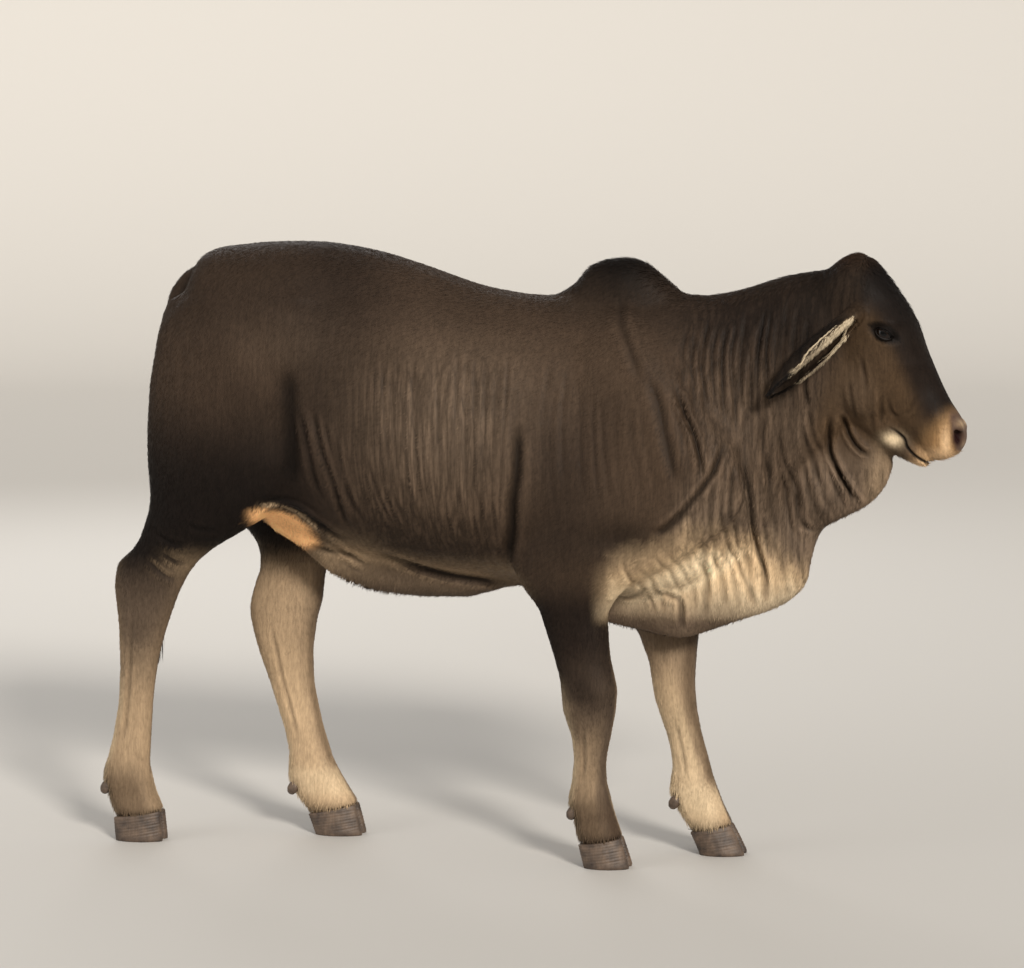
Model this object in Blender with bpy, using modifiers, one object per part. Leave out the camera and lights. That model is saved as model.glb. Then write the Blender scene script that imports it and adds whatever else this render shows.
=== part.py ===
"""A young brahman standing with its near hind leg stretched back: life size, in closed solids.

The body is lofted in masses, fused into one form, and parted into its nodes by thin flat cuts.
Side outlines are pairs of x and z in metres, with x counted from a point near the middle of the barrel.
"""
import math
import random

import bmesh
import bpy
import numpy as np
from mathutils import Matrix, Vector

# Driving sizes, in metres. +X is the way the animal faces, +Y its left side, +Z up.
NAME = "brahman_yearling"
MIDDLE = 0.124            # x of the middle of the box, which is set over the origin at the end
GAP = 0.0003              # gap that touching solids keep
VOXEL = 0.005             # grain of the fused body
RING_POINTS = 20          # points round a lofted ring
RING_STEPS = 3            # rings made between two stations
BODY_SHARE = 0.011        # share of the fused body's triangles that is kept
HEAD_SHARE = 0.014        # the same for the head
HEAD_START = 0.70         # x in front of which the head's share holds
CLEFT = 0.005             # gap between the two claws of a foot
CLEFT_LENGTH = 0.160
CLEFT_HEIGHT = 0.028      # how far the gap runs up past the coronet
CLAW_WIDTH = 0.0410
SOLE_LENGTH = {"foreleg": 0.090, "hindleg": 0.098}
EYE_RADIUS = 0.0192
EYE_PLACE = (0.840, 0.0660, 1.044)
EYE_TILT = math.radians(-28)
EYE_OPENING = (0.0182, 0.0110)     # half length and half height between the lids
LID_THICKNESS = 0.0035
EAR_WALL = 0.005
DEWCLAW_SIZE = (0.012, 0.009, 0.016)

SIDES = {"right": -1, "left": 1}

HIDE = (0.090, 0.078, 0.070)
PALE_HIDE = (0.260, 0.215, 0.170)
HORN = (0.120, 0.100, 0.095)
HAIR = (0.025, 0.020, 0.018)
EYE = (0.012, 0.009, 0.008)


def clear_scene():
    for thing in list(bpy.data.objects):
        bpy.data.objects.remove(thing, do_unlink=True)


def new_collection(name):
    group = bpy.data.collections.new(name)
    bpy.context.scene.collection.children.link(group)
    return group


def new_material(name, colour, roughness):
    paint = bpy.data.materials.new(name)
    paint.use_nodes = True
    shader = paint.node_tree.nodes["Principled BSDF"]
    shader.inputs["Base Color"].default_value = (*colour, 1.0)
    shader.inputs["Roughness"].default_value = roughness
    shader.inputs["Metallic"].default_value = 0.0
    paint.diffuse_color = (*colour, 1.0)
    return paint


def new_object(name, mesh, group):
    thing = bpy.data.objects.new(name, mesh)
    group.objects.link(thing)
    return thing


def bmesh_object(name, build, group):
    mesh = bpy.data.meshes.new(name)
    build.to_mesh(mesh)
    build.free()
    return new_object(name, mesh, group)


def apply_modifiers(thing):
    """The object's mesh becomes its evaluated mesh, and the modifiers go."""
    seen = thing.evaluated_get(bpy.context.evaluated_depsgraph_get())
    mesh = bpy.data.meshes.new_from_object(seen)
    old = thing.data
    thing.modifiers.clear()
    thing.data = mesh
    bpy.data.meshes.remove(old)


def drop(thing):
    mesh = thing.data
    bpy.data.objects.remove(thing, do_unlink=True)
    bpy.data.meshes.remove(mesh)


# Lofts

def between(rows, steps):
    """Rows on a smooth curve through the stations, steps to each span."""
    rows = [np.array(row, float) for row in rows]
    ends = [2 * rows[0] - rows[1]] + rows + [2 * rows[-1] - rows[-2]]
    out = []
    for a, b, c, d in zip(ends, ends[1:], ends[2:], ends[3:]):
        for step in range(steps):
            t = step / steps
            out.append(0.5 * (2 * b + (c - a) * t + (2 * a - 5 * b + 4 * c - d) * t ** 2
                              + (3 * b - a - 3 * c + d) * t ** 3))
    return out + [rows[-1]]


def ring(front, rear, half_width, side, widest, power, count):
    """A ring in the plane that holds a front and a rear point of the side outline and the Y way."""
    front = Vector((front[0], side, front[1]))
    rear = Vector((rear[0], side, rear[1]))
    middle = front.lerp(rear, widest)
    points = []
    for index in range(count):
        turn = 2 * math.pi * index / count
        along = abs(math.cos(turn)) ** (2 / power)
        across = math.copysign(abs(math.sin(turn)) ** (2 / power), math.sin(turn))
        point = middle.lerp(front if math.cos(turn) > 0 else rear, along)
        points.append(point + Vector((0, half_width * across, 0)))
    return points


def loft(name, rings, group):
    """A closed skin over rings of like count, with a fan over each end."""
    build = bmesh.new()
    rows = [[build.verts.new(point) for point in points] for points in rings]
    count = len(rows[0])
    for low, high in zip(rows, rows[1:]):
        for index in range(count):
            after = (index + 1) % count
            build.faces.new((low[index], low[after], high[after], high[index]))
    for row in (rows[0], rows[-1]):
        hub = build.verts.new(sum((vert.co for vert in row), Vector()) / count)
        for index in range(count):
            build.faces.new((row[index], row[(index + 1) % count], hub))
    face_outwards(build)
    return bmesh_object(name, build, group)


def face_outwards(build):
    bmesh.ops.recalc_face_normals(build, faces=build.faces)
    if build.calc_volume(signed=True) < 0:
        bmesh.ops.reverse_faces(build, faces=build.faces)


def mass(name, stations, group, side=1, power=2.0, count=RING_POINTS):
    """A loft from rows of front x, front z, rear x, rear z, half width, middle y, widest place."""
    rings = []
    for fx, fz, rx, rz, half_width, middle, widest in between(stations, RING_STEPS):
        rings.append(ring((fx, fz), (rx, rz), half_width, middle * side, widest, power, count))
    return loft(name, rings, group)


def ball(name, place, radii, group, lean=0.0, count=16):
    """An ellipsoid, leaned about the Y way."""
    build = bmesh.new()
    bmesh.ops.create_uvsphere(build, u_segments=count, v_segments=count // 2, radius=1.0)
    build.transform(Matrix.Diagonal((*radii, 1.0)))
    build.transform(Matrix.Rotation(lean, 4, "Y"))
    build.transform(Matrix.Translation(place))
    return bmesh_object(name, build, group)


# Masses of the body

def torso_masses(group):
    # x, top, bottom, half width, height of the widest line
    sections = [
        (-0.564, 1.085, 0.900, 0.050, 0.50), (-0.548, 1.130, 0.780, 0.096, 0.40),
        (-0.520, 1.184, 0.690, 0.134, 0.33), (-0.440, 1.201, 0.655, 0.158, 0.30),
        (-0.350, 1.207, 0.630, 0.172, 0.33), (-0.260, 1.205, 0.600, 0.178, 0.45),
        (-0.160, 1.188, 0.580, 0.196, 0.53), (-0.060, 1.158, 0.566, 0.208, 0.57),
        (0.040, 1.125, 0.556, 0.210, 0.58), (0.140, 1.108, 0.545, 0.200, 0.57),
        (0.240, 1.106, 0.530, 0.182, 0.57), (0.340, 1.104, 0.520, 0.168, 0.58),
        (0.440, 1.098, 0.535, 0.155, 0.58), (0.530, 1.060, 0.580, 0.135, 0.55),
        (0.600, 0.980, 0.630, 0.100, 0.50), (0.640, 0.880, 0.690, 0.055, 0.50),
    ]
    rows = [(x, top, x, bottom, wide, 0.0, widest) for x, top, bottom, wide, widest in sections]
    return [mass("torso_mass", rows, group, power=2.15, count=28)]


def hump_mass(group):
    rows = [
        (0.185, 1.106, 0.185, 1.000, 0.030, 0.0, 0.8), (0.229, 1.129, 0.225, 1.000, 0.050, 0.0, 0.7),
        (0.265, 1.168, 0.260, 1.000, 0.060, 0.0, 0.65), (0.325, 1.181, 0.320, 0.990, 0.064, 0.0, 0.6),
        (0.372, 1.171, 0.365, 0.990, 0.060, 0.0, 0.6), (0.415, 1.136, 0.405, 0.990, 0.052, 0.0, 0.6),
        (0.455, 1.104, 0.450, 0.990, 0.040, 0.0, 0.6),
    ]
    return [mass("hump_mass", rows, group, power=2.2)]


def neck_mass(group):
    rows = [
        (0.340, 1.100, 0.420, 0.620, 0.125, 0.0, 0.55), (0.430, 1.110, 0.520, 0.640, 0.122, 0.0, 0.55),
        (0.500, 1.110, 0.610, 0.690, 0.108, 0.0, 0.52), (0.572, 1.126, 0.670, 0.760, 0.094, 0.0, 0.50),
        (0.640, 1.148, 0.725, 0.820, 0.084, 0.0, 0.46), (0.700, 1.158, 0.760, 0.860, 0.078, 0.0, 0.44),
        (0.755, 1.165, 0.790, 0.900, 0.070, 0.0, 0.42),
    ]
    return [mass("neck_mass", rows, group, power=2.1, count=24)]


def dewlap_mass(group):
    """A thin hanging fold from the throat to the breast bone, its edge waving from side to side."""
    # edge x, edge z, root x, root z, half thickness
    sections = [
        (0.846, 0.815, 0.800, 0.900, 0.016), (0.853, 0.775, 0.765, 0.890, 0.022),
        (0.836, 0.736, 0.730, 0.870, 0.026), (0.800, 0.702, 0.700, 0.840, 0.028),
        (0.752, 0.678, 0.670, 0.810, 0.030), (0.716, 0.655, 0.640, 0.780, 0.032),
        (0.700, 0.605, 0.610, 0.740, 0.036), (0.688, 0.550, 0.580, 0.700, 0.040),
        (0.640, 0.508, 0.550, 0.670, 0.043), (0.565, 0.481, 0.510, 0.640, 0.042),
        (0.490, 0.451, 0.470, 0.620, 0.038), (0.440, 0.438, 0.420, 0.600, 0.034),
        (0.370, 0.448, 0.370, 0.600, 0.033), (0.295, 0.464, 0.300, 0.600, 0.032),
        (0.215, 0.500, 0.220, 0.600, 0.030), (0.150, 0.540, 0.150, 0.620, 0.026),
    ]
    rings = []
    for number, (ex, ez, rx, rz, thick) in enumerate(between(sections, RING_STEPS)):
        points = ring((rx, rz), (ex, ez), thick, 0.0, 0.35, 2.0, 20)
        wave = 0.007 * math.sin(number * 0.9) + 0.004 * math.sin(number * 0.37 + 1.0)
        root = Vector((rx, 0, rz))
        depth = (Vector((ex, 0, ez)) - root).length
        for point in points:
            low = (Vector((point.x, 0, point.z)) - root).length / depth
            point.y += wave * low ** 2
        rings.append(points)
    return [loft("dewlap_mass", rings, group)]


def belly_mass(group):
    """The loose fold of skin along the belly, deepest at the navel."""
    rows = [
        (-0.400, 0.700, -0.390, 0.630, 0.040, 0.0, 0.5), (-0.330, 0.700, -0.325, 0.592, 0.048, 0.0, 0.5),
        (-0.275, 0.690, -0.270, 0.545, 0.044, 0.0, 0.5), (-0.215, 0.680, -0.215, 0.524, 0.038, 0.0, 0.5),
        (-0.150, 0.670, -0.150, 0.509, 0.040, 0.0, 0.5), (-0.060, 0.660, -0.060, 0.503, 0.050, 0.0, 0.5),
        (0.020, 0.650, 0.020, 0.507, 0.052, 0.0, 0.5), (0.090, 0.640, 0.090, 0.527, 0.046, 0.0, 0.5),
        (0.170, 0.640, 0.170, 0.540, 0.036, 0.0, 0.5),
    ]
    return [mass("belly_mass", rows, group)]


def foreleg_mass(side, group):
    """Shoulder blade to fetlock. The left leg is set forward of the right one."""
    shoulder = [
        (0.370, 1.085, 0.305, 1.085, 0.020, 0.062, 0.5), (0.415, 1.040, 0.262, 1.035, 0.040, 0.088, 0.5),
        (0.460, 0.980, 0.225, 0.975, 0.052, 0.106, 0.5),
        (0.535, 0.880, 0.190, 0.860, 0.058, 0.122, 0.5), (0.590, 0.780, 0.160, 0.750, 0.060, 0.126, 0.5),
        (0.575, 0.695, 0.135, 0.660, 0.062, 0.126, 0.5),
    ]
    right = [
        (0.480, 0.620, 0.130, 0.600, 0.062, 0.122, 0.5), (0.372, 0.560, 0.148, 0.552, 0.058, 0.116, 0.5),
        (0.325, 0.510, 0.182, 0.508, 0.052, 0.111, 0.5), (0.322, 0.455, 0.201, 0.450, 0.046, 0.107, 0.5),
        (0.328, 0.395, 0.216, 0.400, 0.043, 0.104, 0.5), (0.338, 0.350, 0.225, 0.358, 0.045, 0.101, 0.5),
        (0.334, 0.300, 0.229, 0.308, 0.041, 0.099, 0.5), (0.325, 0.255, 0.243, 0.260, 0.031, 0.096, 0.5),
        (0.316, 0.212, 0.249, 0.218, 0.027, 0.094, 0.5), (0.317, 0.168, 0.246, 0.175, 0.028, 0.091, 0.5),
        (0.325, 0.136, 0.238, 0.130, 0.036, 0.089, 0.5), (0.333, 0.098, 0.252, 0.086, 0.035, 0.087, 0.5),
        (0.344, 0.062, 0.258, 0.050, 0.0385, 0.0855, 0.5), (0.353, 0.030, 0.270, 0.020, 0.039, 0.0855, 0.5),
    ]
    left = [
        (0.560, 0.620, 0.170, 0.600, 0.062, 0.122, 0.5), (0.490, 0.560, 0.230, 0.552, 0.058, 0.116, 0.5),
        (0.466, 0.500, 0.290, 0.500, 0.052, 0.112, 0.5), (0.458, 0.430, 0.335, 0.430, 0.046, 0.107, 0.5),
        (0.453, 0.375, 0.357, 0.372, 0.044, 0.103, 0.5), (0.452, 0.330, 0.364, 0.332, 0.044, 0.101, 0.5),
        (0.457, 0.284, 0.374, 0.290, 0.038, 0.099, 0.5), (0.469, 0.234, 0.393, 0.236, 0.029, 0.096, 0.5),
        (0.482, 0.190, 0.403, 0.194, 0.027, 0.094, 0.5), (0.492, 0.155, 0.406, 0.158, 0.029, 0.091, 0.5),
        (0.502, 0.130, 0.404, 0.118, 0.036, 0.089, 0.5), (0.515, 0.096, 0.427, 0.080, 0.035, 0.087, 0.5),
        (0.530, 0.064, 0.446, 0.048, 0.0385, 0.0855, 0.5), (0.543, 0.030, 0.464, 0.018, 0.039, 0.0855, 0.5),
    ]
    rows = shoulder + (right if side < 0 else left)
    return [mass("foreleg_mass", rows, group, side=side, power=2.1)]


def hindleg_mass(side, group):
    """Haunch to fetlock. The right leg is stretched back, the left one set forward."""
    haunch = [
        (-0.345, 1.120, -0.490, 1.130, 0.050, 0.085, 0.5), (-0.290, 1.040, -0.577, 1.060, 0.072, 0.100, 0.5),
        (-0.265, 0.950, -0.605, 0.960, 0.082, 0.103, 0.5),
    ]
    right = [
        (-0.280, 0.850, -0.616, 0.860, 0.084, 0.102, 0.5), (-0.295, 0.760, -0.617, 0.770, 0.080, 0.102, 0.5),
        (-0.335, 0.690, -0.612, 0.695, 0.068, 0.104, 0.5), (-0.410, 0.640, -0.629, 0.640, 0.054, 0.102, 0.5),
        (-0.490, 0.592, -0.650, 0.600, 0.042, 0.096, 0.5), (-0.535, 0.545, -0.690, 0.566, 0.036, 0.090, 0.5),
        (-0.562, 0.498, -0.696, 0.520, 0.036, 0.086, 0.5), (-0.580, 0.452, -0.691, 0.465, 0.035, 0.083, 0.5),
        (-0.598, 0.400, -0.689, 0.408, 0.031, 0.080, 0.5), (-0.611, 0.345, -0.690, 0.350, 0.028, 0.077, 0.5),
        (-0.620, 0.284, -0.695, 0.286, 0.027, 0.074, 0.5), (-0.626, 0.222, -0.706, 0.224, 0.028, 0.071, 0.5),
        (-0.630, 0.165, -0.722, 0.165, 0.032, 0.069, 0.5), (-0.627, 0.132, -0.731, 0.124, 0.037, 0.067, 0.5),
        (-0.617, 0.094, -0.716, 0.082, 0.035, 0.066, 0.5), (-0.606, 0.064, -0.706, 0.050, 0.0385, 0.065, 0.5),
        (-0.596, 0.030, -0.695, 0.020, 0.039, 0.065, 0.5),
    ]
    left = [
        (-0.262, 0.850, -0.612, 0.860, 0.084, 0.102, 0.5), (-0.232, 0.760, -0.598, 0.770, 0.080, 0.104, 0.5),
        (-0.228, 0.690, -0.560, 0.695, 0.070, 0.110, 0.5), (-0.255, 0.630, -0.505, 0.640, 0.056, 0.110, 0.5),
        (-0.290, 0.580, -0.462, 0.590, 0.045, 0.107, 0.5), (-0.312, 0.527, -0.452, 0.545, 0.038, 0.103, 0.5),
        (-0.316, 0.475, -0.468, 0.492, 0.036, 0.100, 0.5), (-0.328, 0.434, -0.474, 0.448, 0.036, 0.098, 0.5),
        (-0.336, 0.372, -0.458, 0.380, 0.033, 0.096, 0.5), (-0.333, 0.310, -0.433, 0.312, 0.029, 0.094, 0.5),
        (-0.321, 0.248, -0.412, 0.250, 0.027, 0.092, 0.5), (-0.307, 0.195, -0.395, 0.196, 0.028, 0.090, 0.5),
        (-0.295, 0.160, -0.388, 0.154, 0.032, 0.088, 0.5), (-0.280, 0.128, -0.388, 0.110, 0.037, 0.087, 0.5),
        (-0.262, 0.098, -0.366, 0.074, 0.035, 0.086, 0.5), (-0.242, 0.068, -0.344, 0.044, 0.0385, 0.0855, 0.5),
        (-0.228, 0.034, -0.326, 0.014, 0.039, 0.0855, 0.5),
    ]
    rows = haunch + (right if side < 0 else left)
    pin = ball("pin_mass", (-0.548, side * 0.075, 1.048), (0.046, 0.034, 0.060), group)
    return [mass("hindleg_mass", rows, group, side=side, power=2.1), pin]


def head_masses(group):
    skull = [
        (0.712, 1.150, 0.700, 0.980, 0.062, 0.0, 0.45), (0.752, 1.182, 0.728, 0.960, 0.070, 0.0, 0.40),
        (0.790, 1.192, 0.752, 0.930, 0.077, 0.0, 0.42), (0.828, 1.160, 0.780, 0.905, 0.082, 0.0, 0.40),
        (0.866, 1.110, 0.802, 0.890, 0.082, 0.0, 0.36), (0.896, 1.060, 0.824, 0.880, 0.072, 0.0, 0.36),
        (0.913, 1.013, 0.842, 0.868, 0.060, 0.0, 0.38), (0.934, 0.965, 0.862, 0.855, 0.049, 0.0, 0.45),
        (0.957, 0.918, 0.884, 0.836, 0.046, 0.0, 0.50), (0.977, 0.888, 0.905, 0.820, 0.050, 0.0, 0.50),
        (0.989, 0.862, 0.920, 0.810, 0.052, 0.0, 0.50), (0.990, 0.838, 0.934, 0.803, 0.047, 0.0, 0.50),
        (0.980, 0.818, 0.948, 0.802, 0.030, 0.0, 0.50),
    ]
    jaw = [
        (0.770, 1.010, 0.720, 0.930, 0.050, 0.0, 0.5), (0.800, 0.975, 0.752, 0.888, 0.055, 0.0, 0.5),
        (0.835, 0.935, 0.788, 0.858, 0.048, 0.0, 0.5), (0.865, 0.890, 0.822, 0.832, 0.038, 0.0, 0.5),
        (0.892, 0.850, 0.851, 0.811, 0.034, 0.0, 0.5), (0.912, 0.825, 0.884, 0.796, 0.034, 0.0, 0.5),
        (0.928, 0.810, 0.910, 0.788, 0.027, 0.0, 0.5),
    ]
    pieces = [mass("skull_mass", skull, group, power=2.2, count=24)]
    pieces.append(mass("jaw_mass", jaw, group, power=2.2))
    for side in SIDES.values():
        pieces.append(ball("cheek_mass", (0.790, side * 0.044, 0.950), (0.048, 0.030, 0.072), group, lean=-0.45))
        pieces.append(ball("brow_mass", (0.838, side * 0.064, 1.060), (0.040, 0.022, 0.028), group, lean=0.9))
        pieces.append(ball("nostril_mass", (0.966, side * 0.034, 0.858), (0.024, 0.019, 0.026), group))
    return pieces


def tail_dock(group):
    """The root of the tail, up to a little past the face where the tail's own solid begins."""
    rows = [
        (-0.490, 1.174, -0.515, 1.110, 0.030, 0.0, 0.5), (-0.546, 1.160, -0.542, 1.090, 0.030, 0.0, 0.5),
        (-0.592, 1.124, -0.562, 1.075, 0.026, 0.0, 0.5), (-0.613, 1.072, -0.573, 1.052, 0.022, 0.0, 0.5),
        (-0.621, 1.000, -0.581, 0.998, 0.020, 0.0, 0.5),
    ]
    return [mass("dock_mass", rows, group)]


# Fusing and parting

def fused(name, pieces, group):
    """The pieces as one closed skin, read off a grid."""
    build = bmesh.new()
    for piece in pieces:
        build.from_mesh(piece.data)
    whole = bmesh_object(name, build, group)
    for piece in pieces:
        drop(piece)
    grid = whole.modifiers.new("fuse", "REMESH")
    grid.mode = "VOXEL"
    grid.voxel_size = VOXEL
    apply_modifiers(whole)
    return whole


def ramp(value, low, high):
    return min(1.0, max(0.0, (value - low) / (high - low)))


def soften(whole):
    """Smooths the flanks, shoulders and haunches well, and everything else a little."""
    flank = whole.vertex_groups.new(name="flank")
    for vert in whole.data.vertices:
        x, y, z = vert.co
        weight = ramp(abs(y), 0.050, 0.085) * ramp(z, 0.50, 0.62) * ramp(0.66 - x, 0.0, 0.06)
        flank.add([vert.index], weight, "REPLACE")
    for name, rounds, limit in (("all_over", 4, ""), ("broad", 45, "flank")):
        step = whole.modifiers.new(name, "SMOOTH")
        step.factor = 0.5
        step.iterations = rounds
        step.vertex_group = limit
    apply_modifiers(whole)
    whole.vertex_groups.clear()


def thin_out(whole, share, chosen):
    """Keeps a share of the triangles among the points that the test picks."""
    bpy.context.view_layer.objects.active = whole
    for thing in bpy.context.view_layer.objects:
        thing.select_set(thing == whole)
    mesh = whole.data
    mesh.polygons.foreach_set("select", [False] * len(mesh.polygons))
    mesh.edges.foreach_set("select", [False] * len(mesh.edges))
    mesh.vertices.foreach_set("select", [chosen(vert.co) for vert in mesh.vertices])
    bpy.ops.object.mode_set(mode="EDIT")
    bpy.ops.mesh.select_mode(type="VERT")
    bpy.ops.mesh.decimate(ratio=share)
    bpy.ops.object.mode_set(mode="OBJECT")


def wall(start, end):
    """A plane across the body through two points of the side view, the kept side to the right of the walk."""
    walk = Vector((end[0] - start[0], 0, end[1] - start[1])).normalized()
    return Vector((start[0], 0, start[1])), Vector((-walk.z, 0, walk.x))


def side_wall(y, side):
    """A plane along the body at one y, the kept side away from the middle plane."""
    return Vector((0, y * side, 0)), Vector((0, -side, 0))


def region(planes, grow, group):
    """The space inside all the planes, each one moved outwards by grow."""
    build = bmesh.new()
    bmesh.ops.create_cube(build, size=4.0)
    for point, normal in planes:
        around = build.verts[:] + build.edges[:] + build.faces[:]
        cut = bmesh.ops.bisect_plane(build, geom=around, plane_co=point + normal * grow, plane_no=normal,
                                     clear_outer=True)
        edges = [piece for piece in cut["geom_cut"] if isinstance(piece, bmesh.types.BMEdge)]
        bmesh.ops.contextual_create(build, geom=edges)
    face_outwards(build)
    cutter = bmesh_object("region", build, group)
    cutter.hide_render = True
    cutter.display_type = "WIRE"
    return cutter


def closed_volume(mesh):
    """The volume of a mesh, or nothing where it isn't closed."""
    build = bmesh.new()
    build.from_mesh(mesh)
    closed = len(build.faces) > 0 and all(len(edge.link_faces) == 2 for edge in build.edges)
    volume = build.calc_volume(signed=True) if closed else 0.0
    build.free()
    return volume


def boolean(thing, other, kind):
    """Joins or cuts by the exact solver, and by the manifold one where that leaves nothing closed.

    The other is an object, or a collection of closed ones.
    """
    before = thing.data.copy()
    for solver in ("EXACT", "MANIFOLD"):
        step = thing.modifiers.new("cut", "BOOLEAN")
        step.operation = kind
        step.solver = solver
        if isinstance(other, bpy.types.Collection):
            step.operand_type = "COLLECTION"
            step.collection = other
        else:
            step.object = other
        apply_modifiers(thing)
        volume = closed_volume(thing.data)
        if volume > 0:
            break
        thing.data = before.copy()
    bpy.data.meshes.remove(before)


def carve(thing, cutter):
    boolean(thing, cutter, "DIFFERENCE")
    drop(cutter)


def largest_only(thing):
    """Drops all but the largest closed surface of the mesh."""
    build = bmesh.new()
    build.from_mesh(thing.data)
    left = set(build.verts)
    islands = []
    while left:
        seed = left.pop()
        island, edge = {seed}, [seed]
        while edge:
            vert = edge.pop()
            for link in vert.link_edges:
                other = link.other_vert(vert)
                if other in left:
                    left.discard(other)
                    island.add(other)
                    edge.append(other)
        islands.append(island)
    islands.sort(key=len)
    for island in islands[:-1]:
        bmesh.ops.delete(build, geom=list(island), context="VERTS")
    build.to_mesh(thing.data)
    build.free()


def part_off(whole, name, planes, group, work):
    """Takes the part of the body inside the planes off as a solid of its own, a thin gap away."""
    piece = new_object(name, whole.data.copy(), group)
    inner = region(planes, 0.0, work)
    outer = region(planes, GAP, work)
    boolean(piece, inner, "INTERSECT")
    boolean(whole, outer, "DIFFERENCE")
    largest_only(piece)
    largest_only(whole)
    drop(inner)
    drop(outer)
    return piece


# Legs and feet

# The reach in x of each leg's region
LEG_REACH = {"foreleg_right": (0.08, 0.42), "foreleg_left": (0.17, 0.60),
             "hindleg_right": (-0.80, -0.37), "hindleg_left": (-0.62, -0.18)}
# The front and rear points, in the side view, of the cuts at its top, at the knee or hock, and at the coronet
LEG_CUTS = {
    "foreleg_right": (((0.420, 0.560), (0.080, 0.560)), ((0.420, 0.405), (0.100, 0.405)),
                      ((0.346, 0.060), (0.259, 0.045))),
    "foreleg_left": (((0.520, 0.555), (0.180, 0.555)), ((0.560, 0.390), (0.250, 0.390)),
                     ((0.532, 0.061), (0.447, 0.044))),
    "hindleg_right": (((-0.350, 0.680), (-0.660, 0.655)), ((-0.420, 0.540), (-0.760, 0.595)),
                      ((-0.605, 0.062), (-0.706, 0.046))),
    "hindleg_left": (((-0.180, 0.655), (-0.600, 0.672)), ((-0.260, 0.545), (-0.540, 0.525)),
                     ((-0.241, 0.064), (-0.343, 0.041))),
}
INNER_FACE = {"foreleg": 0.046, "hindleg": 0.050}
MIDLINE_CLEARANCE = 0.004
UNDERCUT = {"foreleg": 0.55, "hindleg": 0.35}      # slope of a leg's top face down to the middle
UNDERCUT_SIDE = 0.12                               # y at which the top face has its stated height
FOOT_MIDDLE = {"foreleg_right": 0.0855, "foreleg_left": 0.0855, "hindleg_right": 0.065, "hindleg_left": 0.0855}
SOLE_REAR = {"foreleg_right": 0.272, "foreleg_left": 0.468, "hindleg_right": -0.700, "hindleg_left": -0.326}
FETLOCK_REAR = {"foreleg_right": (0.245, 0.106), "foreleg_left": (0.413, 0.101),
                "hindleg_right": (-0.725, 0.106), "hindleg_left": (-0.378, 0.092)}


def claw(name, leg, outer, group):
    """One half of a cloven hoof, from its flat sole up to the coronet."""
    side = SIDES[leg.split("_")[1]]
    front, rear = LEG_CUTS[leg][2]
    near = CLEFT / 2
    middle = FOOT_MIDDLE[leg] * side
    sole = (SOLE_REAR[leg] + SOLE_LENGTH[leg.split("_")[0]], SOLE_REAR[leg])
    rings = []
    # height share, width share, how far the front has drawn back towards the coronet
    for height, wide, back in ((0.0, 0.95, 0.00), (0.10, 1.0, 0.03), (0.50, 0.97, 0.46), (1.0, 0.90, 1.0)):
        points = []
        front_x = sole[0] + (front[0] - 0.002 - sole[0]) * back
        rear_x = sole[1] + (rear[0] + 0.002 - sole[1]) * back
        for index in range(18):
            turn = 2 * math.pi * index / 18
            reach = 0.5 + 0.5 * math.cos(turn)
            bulge = math.sin(turn)
            width = CLAW_WIDTH * wide * (1.0 - 0.34 * reach ** 2.5)
            flat = math.copysign(abs(bulge) ** (1.0 if bulge > 0 else 0.35), bulge)
            across = near + width * 0.5 * (1 + flat)
            x = rear_x + (front_x - rear_x) * reach
            top = rear[1] + (front[1] - rear[1]) * (x - rear[0]) / (front[0] - rear[0]) - GAP
            points.append(Vector((x, middle + across * outer, top * height)))
        rings.append(points)
    return loft(name, rings, group)


def cleft_cutter(leg, work):
    """A wedge between the two toes."""
    side = SIDES[leg.split("_")[1]]
    front, rear = LEG_CUTS[leg][2]
    build = bmesh.new()
    bmesh.ops.create_cube(build, size=1.0)
    for vert in build.verts:
        high = vert.co.z > 0
        vert.co.y *= CLEFT * (0.2 if high else 1.0)
        vert.co.x *= CLEFT_LENGTH
        vert.co.z = CLEFT_HEIGHT if high else -CLEFT_HEIGHT
    build.transform(Matrix.Translation(((front[0] + rear[0]) / 2 + 0.01, FOOT_MIDDLE[leg] * side,
                                        (front[1] + rear[1]) / 2)))
    return bmesh_object("cleft", build, work)


def dewclaw(name, leg, outer, grow, group):
    side = SIDES[leg.split("_")[1]]
    x, z = FETLOCK_REAR[leg]
    place = (x + 0.004, FOOT_MIDDLE[leg] * side + 0.017 * outer, z)
    return ball(name, place, [size + grow for size in DEWCLAW_SIZE], group, lean=0.5, count=10)


def part_leg(whole, leg, group, work):
    """Parts a leg off in an upper and a lower solid, with its claws and dew claws."""
    kind, which = leg.split("_")
    side = SIDES[which]
    back, ahead = LEG_REACH[leg]
    (top_front, top_rear), (mid_front, mid_rear), (low_front, low_rear) = LEG_CUTS[leg]
    bounds = [wall((back, 0.0), (back, 1.0)), wall((ahead, 1.0), (ahead, 0.0))]
    below_body = bounds + [side_wall(MIDLINE_CLEARANCE, side)]
    drop(part_off(whole, "foot", below_body + [wall(low_rear, low_front)], group, work))
    lower = part_off(whole, leg + "_lower", below_body + [wall(mid_rear, mid_front)], group, work)
    point, normal = wall(top_rear, top_front)
    point += Vector((0, UNDERCUT_SIDE * side, 0))
    normal = (normal - Vector((0, UNDERCUT[kind] * side, 0))).normalized()
    upper = part_off(whole, leg + "_upper", bounds + [side_wall(INNER_FACE[kind], side), (point, normal)],
                     group, work)
    carve(lower, cleft_cutter(leg, work))
    nodes = [upper, lower]
    for place, outer in (("outer", side), ("inner", -side)):
        nodes.append(claw(f"claw_{leg}_{place}", leg, outer, group))
        carve(lower, dewclaw("pocket", leg, outer, GAP, work))
        nodes.append(dewclaw(f"dewclaw_{leg}_{place}", leg, outer, 0.0, group))
    largest_only(lower)
    return nodes


# Head, eyes and ears

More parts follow.
